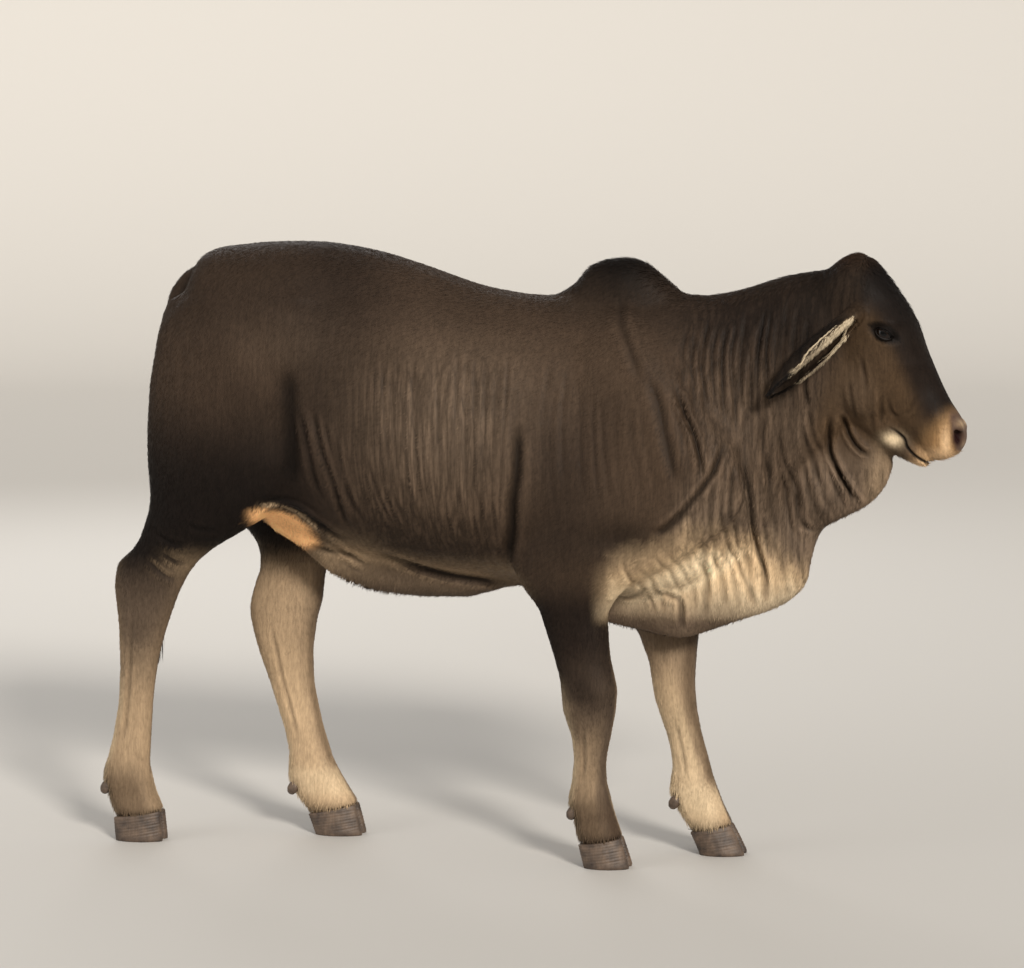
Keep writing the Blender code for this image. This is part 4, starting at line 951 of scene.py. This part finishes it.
def eye_paint(side):
    """A dark brown iris round a wide lying pupil, under a wet clear front."""
    paint, nodes, links, shader = new_paint("eye_" + word_of(side) + "_wet")
    centre = eye_place(side)
    place = nodes.new("ShaderNodeTexCoord")
    move = nodes.new("ShaderNodeMapping")
    move.vector_type = "TEXTURE"
    move.inputs["Location"].default_value = centre
    move.inputs["Rotation"].default_value = (0, -EYE_TILT, 0)
    links.new(place.outputs["Object"], move.inputs["Vector"])

    def ring(scale):
        stretch = nodes.new("ShaderNodeVectorMath")
        stretch.operation = "MULTIPLY"
        stretch.inputs[1].default_value = scale
        links.new(move.outputs["Vector"], stretch.inputs[0])
        length = nodes.new("ShaderNodeVectorMath")
        length.operation = "LENGTH"
        links.new(stretch.outputs["Vector"], length.inputs[0])
        return length.outputs["Value"]

    iris = nodes.new("ShaderNodeValToRGB")
    stops = iris.color_ramp.elements
    stops[0].position, stops[0].color = 0.55, (*daylight((26, 16, 10)), 1)
    stops[1].position, stops[1].color = 0.80, (*daylight((16, 10, 7)), 1)
    edge = stops.new(0.90)
    edge.color = (*daylight((19, 13, 10)), 1)
    links.new(between(nodes, links, ring((1, 0, 1)), 0, 0.0165, 0, 1), iris.inputs["Fac"])
    pupil = between(nodes, links, ring((0.55, 0, 1)), 0.0038, 0.0046, 0.0, 1.0)
    links.new(times(nodes, links, iris.outputs["Color"], pupil), shader.inputs["Base Color"])
    shader.inputs["Roughness"].default_value = 0.10
    shader.inputs["Specular IOR Level"].default_value = 0.20
    shader.inputs["Coat Weight"].default_value = 0.20
    shader.inputs["Coat Roughness"].default_value = 0.03
    return paint


def lid_paint():
    """Black, finely pored skin round the eyes."""
    paint, nodes, links, shader = new_paint("lid_skin")
    pores = noise_at(nodes, links, 900, detail=2.0)
    base = nodes.new("ShaderNodeRGB")
    base.outputs[0].default_value = (*daylight(LID_BLACK), 1)
    shade = times(nodes, links, base.outputs[0], between(nodes, links, pores, 0.3, 0.7, 0.8, 1.2))
    links.new(shade, shader.inputs["Base Color"])
    shader.inputs["Roughness"].default_value = 0.50
    links.new(bump(nodes, links, pores, 0.4, 0.0004), shader.inputs["Normal"])
    return paint


# Hair as solid mesh

MAP_PATCH = 0.003         # the length of a tuft's patch on the map of the skin
SPINE = ((-0.86, 1.00), (-0.50, 0.92), (0.0, 0.82), (0.35, 0.86), (0.60, 0.98), (0.88, 0.84))


def strands(name, roots, out, first, last, lengths, widths, rings, colours, places, thick):
    """One mesh of closed slivers: each leaves its root along first, bends to last, and faces out."""
    count = len(roots)
    widths = np.broadcast_to(widths, count)
    place = roots.copy()
    points, facing = [place], [out]
    for number in range(rings + 1):
        share = number / max(rings, 1)
        way = unit(first * (1 - share) + last * share)
        place = place + way * (lengths / (rings + 1))[:, None]
        if number == rings:
            points.append(place)
            facing.append(out)
            break
        across = unit(np.cross(way, out))
        up = np.cross(across, way)
        spread = np.sin(math.pi * (0.18 + 0.82 * (number + 1) / (rings + 1)) ** 0.8)
        half = (widths * max(spread, 0.35) / 2)[:, None]
        points += [place - across * half, place + across * half, place + up * half * thick * 2]
        facing += [unit(out - across * 0.7), unit(out + across * 0.7), unit(out + up * 0.5)]
    co = np.stack(points, axis=1)
    size = co.shape[1]
    faces = [(0, 1 + corner, 1 + (corner + 1) % 3) for corner in range(3)]
    for ring in range(rings - 1):
        low, high = 1 + 3 * ring, 4 + 3 * ring
        for corner in range(3):
            after = (corner + 1) % 3
            faces.append((low + corner, high + corner, high + after))
            faces.append((low + corner, high + after, low + after))
    top = size - 1
    faces += [(top - 3 + corner, top, top - 3 + (corner + 1) % 3) for corner in range(3)]
    faces = np.array(faces)
    corners = (faces[None] + (np.arange(count) * size)[:, None, None]).reshape(-1, 3)

    mesh = bpy.data.meshes.new(name)
    mesh.vertices.add(count * size)
    mesh.vertices.foreach_set("co", co.astype(np.float32).ravel())
    mesh.loops.add(corners.size)
    mesh.loops.foreach_set("vertex_index", corners.astype(np.int32).ravel())
    mesh.polygons.add(len(corners))
    mesh.polygons.foreach_set("loop_start", np.arange(0, corners.size, 3, dtype=np.int32))
    mesh.update(calc_edges=True)
    mesh.shade_smooth()
    mesh.normals_split_custom_set_from_vertices(np.stack(facing, axis=1).reshape(-1, 3).astype(np.float32))
    thing = bpy.data.objects.new(name, mesh)
    bpy.context.scene.collection.objects.link(thing)
    write_colours(thing, np.repeat(colours, size, axis=0))

    # each sliver's small patch of the map, round its root's place
    local = np.zeros((size, 2))
    for ring in range(rings):
        for corner, shift in enumerate((-1, 1, 0)):
            level = (ring + 1) / (rings + 1) - 0.5
            local[1 + 3 * ring + corner] = (shift * MAP_PATCH / 3, level * MAP_PATCH)
    local[0], local[-1] = (0, -MAP_PATCH / 2), (0, MAP_PATCH / 2)
    spots = (places[:, None, :] + local[None]).reshape(-1, 2)
    layer = mesh.uv_layers.new(name="OFBake")
    layer.data.foreach_set("uv", spots[corners.ravel()].astype(np.float32).ravel())
    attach(thing, "root")
    return thing


def unwrapped(co):
    """Each point's place on a map of the skin: trunk, legs, ears and tail rolled out side by side."""
    x, y, z = co.T
    round_trunk = np.arctan2(y, level_of(SPINE, x) - z) / (2 * math.pi) + 0.5
    uv = np.stack([0.01 + 0.98 * (x + 0.87) / 1.75, 0.35 + 0.64 * round_trunk], axis=1)
    legs = z < 0.52
    for number, leg in enumerate(LEGS):
        low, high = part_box(leg + "_lower")
        middle = (np.array(low) + np.array(high)) / 2
        mine = legs & (np.sign(middle[1]) == np.sign(y)) & (np.abs(x - middle[0]) < 0.20)
        turn = np.arctan2(y - middle[1], x - middle[0]) / (2 * math.pi) + 0.5
        uv[mine] = np.stack([0.01 + 0.17 * number + 0.15 * turn, 0.01 + 0.50 * z], axis=1)[mine]
    tail = (x < -0.695) & (z > 0.30) & (np.abs(y) < 0.045) & (z < 1.04)
    uv[tail] = np.stack([0.72 + 0.06 * (y / 0.06), 0.01 + 0.27 * z], axis=1)[tail]
    ears = (ear_share(co) > 0.5) & ~legs
    uv[ears] = np.stack([0.89 + 0.45 * (x - 0.58) * np.sign(y), 0.01 + 0.95 * (z - 0.89)], axis=1)[ears]
    return np.clip(uv, 0.002, 0.998)


def dress(piece):
    """Hair takes the coat's paint, and has no wrinkles of its own."""
    write_wrinkles(piece, np.zeros(len(piece.data.vertices)))
    piece.data.materials.append(coat_hair)


# Camera, light and floor

FLOOR_REACH = 12.0        # how far the floor runs out level, then how it rises round the animal
FLOOR_RISE = 5.0
SUN_WAY, SUN_WIDTH, SUN_POWER = (0.60, -0.80, 0.50), 12, 3.1
LIT_PLACE = Vector((0, 0, 0.7))
LAMPS = (("fill", (-5.2, -4.2, 2.6), 4.0, 90), ("rim", (-2.6, 4.6, 3.6), 3.0, 80))


def lay_floor():
    """A pale floor that rises all round like a bowl."""
    profile = [(share * FLOOR_REACH, 0.0) for share in (0.0, 0.25, 0.6, 1.0)]
    for step in range(1, 13):
        turn = step / 12 * math.pi / 2
        profile.append((FLOOR_REACH + FLOOR_RISE * math.sin(turn), FLOOR_RISE * (1 - math.cos(turn))))
    turns = 96
    points, faces = [(0.0, 0.0, 0.0)], []
    for reach, height in profile[1:]:
        for number in range(turns):
            turn = 2 * math.pi * number / turns
            points.append((reach * math.cos(turn), reach * math.sin(turn), height))
    for number in range(turns):
        after = (number + 1) % turns
        faces.append((0, 1 + number, 1 + after))
        for ring in range(len(profile) - 2):
            low, high = 1 + ring * turns, 1 + (ring + 1) * turns
            faces.append((low + number, high + number, high + after, low + after))
    mesh = bpy.data.meshes.new("floor")
    mesh.from_pydata(points, [], faces)
    mesh.shade_smooth()
    floor = bpy.data.objects.new("floor", mesh)
    bpy.context.scene.collection.objects.link(floor)
    floor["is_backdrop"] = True
    paint, _, _, shader = new_paint("pale_floor")
    shader.inputs["Base Color"].default_value = (0.56, 0.54, 0.51, 1)
    shader.inputs["Roughness"].default_value = 0.9
    floor.data.materials.append(paint)


def set_lights():
    """A wide soft key light, two weak lamps and an even glow all round."""
    world = bpy.data.worlds.new("studio")
    world.use_nodes = True
    glow = world.node_tree.nodes["Background"]
    glow.inputs["Color"].default_value = (1.0, 0.97, 0.93, 1)
    glow.inputs["Strength"].default_value = 0.50
    bpy.context.scene.world = world
    bpy.context.scene.view_settings.view_transform = "Standard"
    bpy.ops.object.light_add(type="SUN", location=SUN_WAY)
    sun = bpy.context.object
    sun.name = "key"
    sun.data.energy = SUN_POWER
    sun.data.angle = math.radians(SUN_WIDTH)
    sun.data.color = (1.0, 0.95, 0.88)
    sun.rotation_euler = Vector(SUN_WAY).to_track_quat("Z", "Y").to_euler()
    for name, place, size, power in LAMPS:
        bpy.ops.object.light_add(type="AREA", location=place)
        lamp = bpy.context.object
        lamp.name = name
        lamp.data.size = size
        lamp.data.energy = power
        lamp.rotation_euler = (LIT_PLACE - Vector(place)).to_track_quat("-Z", "Y").to_euler()


CAMERA_PLACE = (1.536, -6.2465, 1.42)
CAMERA_TURN = math.radians(14)
FOCUS, PICTURE = 3300, 1024    # the focal length and the picture's width, in its points
CAMERA_DIP = math.atan(352 / FOCUS)
SENSOR = 36


def set_camera():
    bpy.ops.object.camera_add(location=CAMERA_PLACE)
    camera = bpy.context.object
    level = math.cos(CAMERA_DIP)
    ahead = Vector((-math.sin(CAMERA_TURN) * level, math.cos(CAMERA_TURN) * level, -math.sin(CAMERA_DIP)))
    camera.rotation_euler = ahead.to_track_quat("-Z", "Y").to_euler()
    camera.data.sensor_width = SENSOR
    camera.data.lens = FOCUS / PICTURE * SENSOR
    camera.data.clip_end = 100
    bpy.context.scene.camera = camera


def ringed(claw, high):
    """Growth rings on a claw's wall, lower at the toe than at the heel."""
    co, way = points_of(claw), normals_of(claw)
    slope = co[:, 2] - 0.17 * co[:, 0]
    wall = smoothstep(co[:, 2], 0.006, 0.014) * fades(co[:, 2], high - 0.010, high - 0.003)
    rings = np.sin(slope / 0.0058 * 2 * math.pi) + 0.5 * np.sin(slope / 0.0091 * 2 * math.pi)
    return co + way * (0.00032 * rings * wall * smoothstep(way[:, 2], -0.9, -0.3))[:, None]


def claw_horn(node, grid, rounds, faces, rings=False):
    """A claw or dew claw as it grows: the plain solid rounded off, with rings on a claw's wall."""
    claw = joined(node + "_horn", [node])
    voxelled(claw, grid)
    smooth_by(claw, np.ones(len(points_of(claw))), rounds)
    if rings:
        low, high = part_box(node)
        co = ringed(claw, high[2])
        co[:, 2] = np.maximum(co[:, 2], low[2] + 0.0001)
        set_points(claw, co)
    thin_out(claw, np.ones(len(points_of(claw)), bool), faces)
    claw.data.shade_smooth()
    claw.data.materials.append(horn)
    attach(claw, "root")
    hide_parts(node)


def eye(side):
    """The ball, and the dark wet rims of the lids round its opening."""
    word = word_of(side)
    centre = eye_place(side)
    bpy.ops.mesh.primitive_uv_sphere_add(segments=48, ring_count=32, radius=EYE_RADIUS)
    ball = bpy.context.object
    ball.name = "eyeball_" + word
    bpy.ops.transform.translate(value=centre)
    bpy.ops.object.transform_apply(location=True, rotation=True, scale=True)
    ball.data.shade_smooth()
    ball.data.materials.append(eye_paint(side))
    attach(ball, "root")
    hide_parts("eye_" + word)

    turns = np.linspace(0, 2 * math.pi, 48, endpoint=False)
    dx, dz = round_opening(turns)
    depth = np.sqrt(np.maximum((EYE_RADIUS + 0.0007) ** 2 - dx ** 2 - dz ** 2, 0))
    line = bpy.data.curves.new("lid_rim_" + word, "CURVE")
    line.dimensions = "3D"
    line.bevel_depth = 0.0006
    line.bevel_resolution = 3
    loop = line.splines.new("POLY")
    loop.points.add(len(turns) - 1)
    loop.use_cyclic_u = True
    for point, a, b, c, rise in zip(loop.points, dx, depth, dz, np.sin(turns)):
        point.co = (centre[0] + a, centre[1] + side * b, centre[2] + c, 1)
        point.radius = 1.0 + 0.35 * max(rise, 0)
    rim = bpy.data.objects.new("lid_rim_" + word, line)
    bpy.context.scene.collection.objects.link(rim)
    take(rim)
    bpy.ops.object.convert(target="MESH")
    rim.data.shade_smooth()
    rim.data.materials.append(lid_skin)
    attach(rim, "root")


# Where the coat grows

def lie_of(co, way):
    """The way that the hair lies at each point, along the skin."""
    x, z = co[:, 0], co[:, 2]
    lie = np.tile((-1.0, 0.0, -0.85), (len(co), 1))

    def turn(direction, share):
        nonlocal lie
        share = np.clip(share, 0, 1)[:, None]
        lie = lie * (1 - share) + np.array(direction) * share

    turn((-0.35, 0, -1.0), smoothstep(-x, 0.30, 0.52))
    turn((-0.35, 0, -1.0), smoothstep(x, 0.28, 0.42))
    turn((-0.08, 0, -1.0), fades(z, 0.45, 0.62))
    turn((0.75, 0, -0.85), in_head(co))
    turn((-0.3, 0, 0.9), blob(co, (0.640, 0, 1.165), (0.03, 0.05, 0.03)))
    lie[ear_share(co) > 0.5] = (-0.75, 0, -0.66)
    lie[on_tail(co) > 0] = (0, 0, -1)
    lie -= way * np.sum(lie * way, axis=1)[:, None]
    return unit(lie)


def coat_length(co):
    """Hair length: longest on the trunk, short on the legs and face, a little longer over the hooves."""
    length = 0.0115 * (1 - 0.30 * on_legs(co))
    length *= 1 - 0.45 * in_head(co)
    length *= 1 - 0.30 * ear_share(co)
    return length + 0.006 * fades(co[:, 2], 0.060, 0.085)


class Hide:
    """The finished hide's points, ways out and triangles, for setting hair on it."""

    def __init__(self, thing):
        mesh = thing.data
        mesh.calc_loop_triangles()
        corners = np.empty(len(mesh.loop_triangles) * 3, np.int32)
        mesh.loop_triangles.foreach_get("vertices", corners)
        self.corners = corners.reshape(-1, 3)
        self.co, self.way = points_of(thing), normals_of(thing)
        a, b, c = (self.co[self.corners[:, number]] for number in range(3))
        self.area = np.linalg.norm(np.cross(b - a, c - a), axis=1) / 2
        self.middle = (a + b + c) / 3
        self.out = unit(self.way[self.corners].sum(axis=1))

    def spread(self, dense, total, chance):
        """Roots spread evenly by a density on the triangles, with the way out at each."""
        steps = np.cumsum(self.area * dense)
        picks = np.searchsorted(steps, (np.arange(total) + chance.uniform(0, 1, total)) / total * steps[-1])
        picks = np.minimum(picks, len(self.corners) - 1)
        mix = chance.dirichlet((1, 1, 1), total)[:, :, None]
        roots = np.sum(self.co[self.corners[picks]] * mix, axis=1)
        return roots, unit(np.sum(self.way[self.corners[picks]] * mix, axis=1))


def bare(co):
    """1 where no hair grows: between the lids, in and round the nostrils, on the nose and the lips' edge."""
    skin = np.zeros(len(co))
    for side in BOTH:
        near = np.linalg.norm(co - eye_place(side), axis=1) < 0.04
        skin[near & (lens(co, eye_place(side))[0] < 1.5)] = 1
        skin[np.linalg.norm(co - np.array(NOSTRIL) * (1, side, 1), axis=1) < 0.016] = 1
    skin[(co[:, 0] + 0.20 * (co[:, 2] - 0.85) > 0.846) & (co[:, 2] > 0.82)] = 1
    return skin


COAT_TUFTS, COAT_PIECES = 172000, 7
POINTS_OF_TUFT = 5


def grow_coat(skin):
    """Thin tufts all over the hide, lying close, more and smaller on the head and legs."""
    chance = np.random.default_rng(31)
    dense = (1 - bare(skin.middle)) * (1 + 1.8 * in_head(skin.middle) + 0.6 * on_legs(skin.middle))
    dense *= 1 + 2.0 * ear_share(skin.middle)
    roots, out = skin.spread(dense, COAT_TUFTS, chance)
    keep = bare(roots) < 1
    roots, out = roots[keep], out[keep]
    order = np.argsort(roots[:, 0] + (roots[:, 2] < 0.5) * 10)
    roots, out = roots[order], out[order]
    lie = lie_of(roots, out)
    sway = chance.normal(0, 0.11, len(roots))[:, None]
    lie = unit(lie + np.cross(out, lie) * sway)
    lengths = coat_length(roots) * chance.uniform(0.75, 1.25, len(roots))
    widths = lengths * chance.uniform(0.10, 0.15, len(roots))
    lift = (0.05 + 0.10 * chance.uniform(0, 1, len(roots)) ** 2)[:, None]
    first = unit(lie + out * (lift + 0.12))
    last = unit(lie + out * (lift - 0.16))
    colours = markings(roots, out) * chance.uniform(0.88, 1.14, len(roots))[:, None]
    places = unwrapped(roots)
    roots = roots - out * 0.0004
    for number, ids in enumerate(np.array_split(np.arange(len(roots)), COAT_PIECES)):
        piece = strands("coat_" + str(number + 1), roots[ids], out[ids], first[ids], last[ids], lengths[ids],
                        widths[ids], 1, colours[ids], places[ids], 0.22)
        write_wrinkles(piece, np.repeat(wrinkled(roots[ids]), POINTS_OF_TUFT))
        piece.data.materials.append(coat_hair)


def grow_longer(name, skin, dense, total, length, width, lift, droop, seed):
    """Longer tufts, where the coat breaks the outline: they leave the skin more and then hang."""
    chance = np.random.default_rng(seed)
    roots, out = skin.spread(dense, total, chance)
    lie = lie_of(roots, out)
    lie = unit(lie + np.cross(out, lie) * chance.normal(0, 0.18, total)[:, None])
    lengths = length * chance.uniform(0.6, 1.2, total)
    first = unit(lie + out * (lift * chance.uniform(0.6, 1.3, total))[:, None])
    last = unit(lie + np.array((0, 0, -1.0)) * droop + out * 0.05)
    colours = markings(roots, out) * chance.uniform(0.80, 1.20, total)[:, None]
    piece = strands(name, roots - out * 0.0005, out, first, last, lengths, width, 3, colours,
                    unwrapped(roots), 0.25)
    dress(piece)


def grow_edges(skin):
    """The longer hair of poll, neck, hump, dewlap, belly, chin, hocks and fetlocks."""
    place, out = skin.middle, skin.out
    x, z, side = place[:, 0], place[:, 2], np.abs(place[:, 1])
    haired = 1 - bare(place)
    top = smoothstep(out[:, 2], 0.35, 0.8) * smoothstep(-side, -0.06, -0.02)
    crest = top * smoothstep(x, 0.05, 0.14) * smoothstep(z, 1.02, 1.06)
    poll = blob(place, (0.655, 0, 1.185), (0.030, 0.032, 0.022)) * smoothstep(z, 1.150, 1.165)
    under = smoothstep(-out[:, 2], 0.20, 0.60) * haired
    line = smoothstep(z, 0.44, 0.47) * smoothstep(-z, -0.84, -0.80) * smoothstep(-side, -0.09, -0.05)
    navel = blob(place, (-0.30, 0.0, 0.535), (0.05, 0.03, 0.03)) * under
    heel = smoothstep(-out[:, 0], 0.30, 0.75) * fades(z, 0.150, 0.175) * smoothstep(z, 0.060, 0.085)
    shank = smoothstep(-out[:, 0], 0.45, 0.80) * smoothstep(z, 0.16, 0.20) * smoothstep(-z, -0.62, -0.56)
    chin = blob(place, (0.788, 0.0, 0.790), (0.034, 0.030, 0.014)) * haired * smoothstep(x, 0.750, 0.765)
    # where, how many tufts, their length and width, how far they lift and droop, and a seed
    for name, *tufts in (("crest_hair", crest, 2600, 0.017, 0.0017, 0.30, 0.0, 41),
                         ("poll_hair", poll, 1500, 0.015, 0.0016, 0.40, 0.2, 42),
                         ("underline_hair", under * line, 5200, 0.012, 0.0014, 0.28, 0.4, 43),
                         ("navel_hair", navel, 500, 0.015, 0.0013, 0.30, 1.0, 44),
                         ("fetlock_hair", heel, 2600, 0.018, 0.0017, 0.30, 0.9, 45),
                         ("shank_hair", shank, 3200, 0.012, 0.0015, 0.22, 0.2, 46),
                         ("chin_hair", chin, 500, 0.008, 0.0009, 0.35, 0.6, 47)):
        grow_longer(name, skin, *tufts)


def ear_rims(skin, side):
    """Points along both rims of an ear, with the way along it and the way across."""
    along = along_ear(skin.co)[0]
    mine = (skin.co[:, 1] * side > 0.06) & (ear_share(skin.co) > 0.5)
    flip = np.array((1, side, 1))
    way, mouth = EAR_WAY * flip, EAR_MOUTH * flip
    across = np.cross(way, mouth)
    across /= np.linalg.norm(across)
    for sign in (-1, 1):
        line = []
        for share in np.linspace(0.10, 0.99, 26):
            ids = np.nonzero(mine & (np.abs(along - share) < 0.022))[0]
            if len(ids):
                spot = skin.co[ids]
                best = ids[np.argmax(spot @ across * sign + 0.35 * spot @ unit(mouth[None])[0])]
                line.append(skin.co[best])
        line = np.array(line)
        line[1:-1] = (line[:-2] + line[1:-1] * 2 + line[2:]) / 4
        yield line, way, across * sign, unit(mouth[None])[0]


def ear_lining(skin, side):
    """The pale hair that fills an ear's cup, from its root to two thirds of the way out."""
    chance = np.random.default_rng(70 + side)
    flip = np.array((1, side, 1))
    mouth, way = unit(EAR_MOUTH[None] * flip)[0], EAR_WAY * flip
    along = along_ear(skin.middle)[0]
    mine = skin.middle[:, 1] * side > 0.06
    inside = ear_share(skin.middle) * mine * smoothstep(skin.out @ mouth, 0.30, 0.60)
    dense = inside * (along < 0.72) * (1.6 - along)
    roots, out = skin.spread(dense, 1500, chance)
    share = along_ear(roots)[0]
    first = unit(way * 0.8 + mouth * 0.8 + chance.normal(0, 0.22, (len(roots), 3)))
    last = unit(way + mouth * 0.1 + chance.normal(0, 0.10, (len(roots), 3)))
    lengths = 0.012 * chance.uniform(0.6, 1.2, len(roots)) * (1.1 - 0.6 * share)
    pale = (1 - 0.50 * smoothstep(share, 0.36, 0.50))[:, None]
    colours = daylight(EAR_HAIR) * pale + daylight(UMBER) * (1 - pale)
    colours = colours * chance.uniform(0.65, 1.05, len(roots))[:, None]
    piece = strands("ear_lining_" + word_of(side), roots, out, first, last, lengths, 0.0013, 3, colours,
                    unwrapped(roots), 0.3)
    dress(piece)


FRINGE_HAIRS = 900        # on each rim


def ear_fringe(skin, side):
    """Long pale hair from both rims of an ear and out of its cup, black at the tip."""
    chance = np.random.default_rng(60 + side)
    roots, first, last, out, share = [], [], [], [], []
    for line, way, across, mouth in ear_rims(skin, side):
        for _ in range(FRINGE_HAIRS):
            t = chance.uniform(0, 1)
            spot = np.array([np.interp(t, np.linspace(0, 1, len(line)), line[:, axis]) for axis in range(3)])
            inward = chance.uniform(0, 1)
            roots.append(spot - across * 0.0035 * inward - mouth * 0.0015)
            start = way * 0.95 + across * (0.30 - 0.6 * inward) + mouth * (0.20 + 0.3 * inward)
            first.append(start + chance.normal(0, 0.12, 3))
            last.append(way * 1.0 + across * (0.15 - 0.3 * inward) + (0, 0, -0.25))
            out.append(mouth * 0.7 + across * 0.5)
            share.append(t)
    roots, share = np.array(roots), np.array(share)
    pale = fades(share + chance.normal(0, 0.04, len(share)), 0.62, 0.74)
    colours = daylight(EAR_HAIR) * pale[:, None] + daylight(BLACK) * (1 - pale)[:, None]
    colours = colours * chance.uniform(0.75, 1.1, len(share))[:, None]
    lengths = 0.0125 * chance.uniform(0.6, 1.2, len(share)) * (1 - 0.25 * share)
    out, first, last = (unit(np.array(ways)) for ways in (out, first, last))
    piece = strands("ear_fringe_" + word_of(side), roots, out, first, last, lengths, 0.0014, 3, colours,
                    unwrapped(roots), 0.3)
    dress(piece)


def lashes(side):
    """Eyelashes along the upper lid, and a few below."""
    chance = np.random.default_rng(80 + side)
    centre = eye_place(side)
    above, below = chance.uniform(0.14, 0.78, 90), chance.uniform(0.3, 0.7, 26)
    turns = np.concatenate([above, -below]) * math.pi
    upper = turns > 0
    dx, dz = round_opening(turns, 0.0006, 0.0010)
    depth = np.sqrt((EYE_RADIUS + 0.0014) ** 2 - dx ** 2 - dz ** 2)
    out = np.stack([dx, side * depth, dz], axis=1) / EYE_RADIUS
    roots = centre + out * EYE_RADIUS
    fan = np.stack([dx, np.zeros(len(dx)), dz], axis=1) / 0.02
    first = unit(out + fan * 0.3 + np.array((0.10, 0, -0.25)))
    droop = np.where(upper, 0.65, 0.1)[:, None] * (0, 0, -1)
    last = unit(out * 0.7 + fan * 0.3 + (0.15, 0, 0) + droop)
    lengths = np.where(upper, 0.0115, 0.005) * chance.uniform(0.75, 1.15, len(turns))
    colours = np.tile(daylight(BLACK), (len(turns), 1))
    piece = strands("lashes_" + word_of(side), roots, unit(out), first, last, lengths, 0.00075, 4, colours,
                    unwrapped(roots), 0.4)
    dress(piece)


def tail_switch():
    """The tail's long hair: fine locks from a slim core, hanging to the hocks and tapering."""
    chance = np.random.default_rng(12)
    low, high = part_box("tail_switch")
    middle = (low[0] * 0.80 + high[0] * 0.20, (low[1] + high[1]) / 2)
    count = 420
    level = chance.uniform(0, 1, count) ** 0.8
    turn = chance.uniform(0, 2 * math.pi, count)
    out = np.stack([np.cos(turn), np.sin(turn), np.zeros(count)], axis=1)
    height = 0.618 - 0.16 * level
    radius = 0.008 - 0.004 * level
    roots = np.stack([middle[0] + out[:, 0] * radius, middle[1] + out[:, 1] * radius, height], axis=1)
    tip = np.interp(level, (0, 1), (0.40, 0.335)) + chance.normal(0, 0.020, count)
    lengths = np.clip(height - tip, 0.05, 0.28)
    lengths = np.minimum(lengths, height - low[2] - 0.004)
    down = np.array((0.0, 0.0, -1.0))
    flat = out * (0.45, 1.0, 1.0) - (0.03, 0, 0)
    first = unit(down + flat * chance.uniform(0.10, 0.26, count)[:, None])
    last = unit(down - flat * chance.uniform(-0.02, 0.16, count)[:, None])
    colours = np.tile(daylight(BLACK), (count, 1)) * chance.uniform(0.8, 1.9, count)[:, None]
    switch = strands("tail_hair", roots, out, first, last, lengths, 0.0062, 7, colours, unwrapped(roots), 0.3)
    dress(switch)
    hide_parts("tail_switch")


set_camera()
lay_floor()
set_lights()
horn = horn_paint()
lid_skin = lid_paint()
coat_hair = coat_paint("coat_hair", False)
hide = build_hide()
write_colours(hide, markings(points_of(hide), normals_of(hide)))
write_wrinkles(hide, wrinkled(points_of(hide)))
hide.data.materials.append(coat_paint("hide_hair", True))
skin = Hide(hide)
for side in BOTH:
    eye(side)
    lashes(side)
    ear_fringe(skin, side)
    ear_lining(skin, side)
for leg in LEGS:
    for toe in ("outer", "inner"):
        claw_horn("claw_" + leg + "_" + toe, grid=0.0014, rounds=14, faces=5000, rings=True)
        claw_horn("dewclaw_" + leg + "_" + toe, grid=0.0010, rounds=6, faces=1200)
tail_switch()
grow_coat(skin)
grow_edges(skin)

boxes = [[list(corner) for corner in box] for box in (CAD_BOX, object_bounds())]
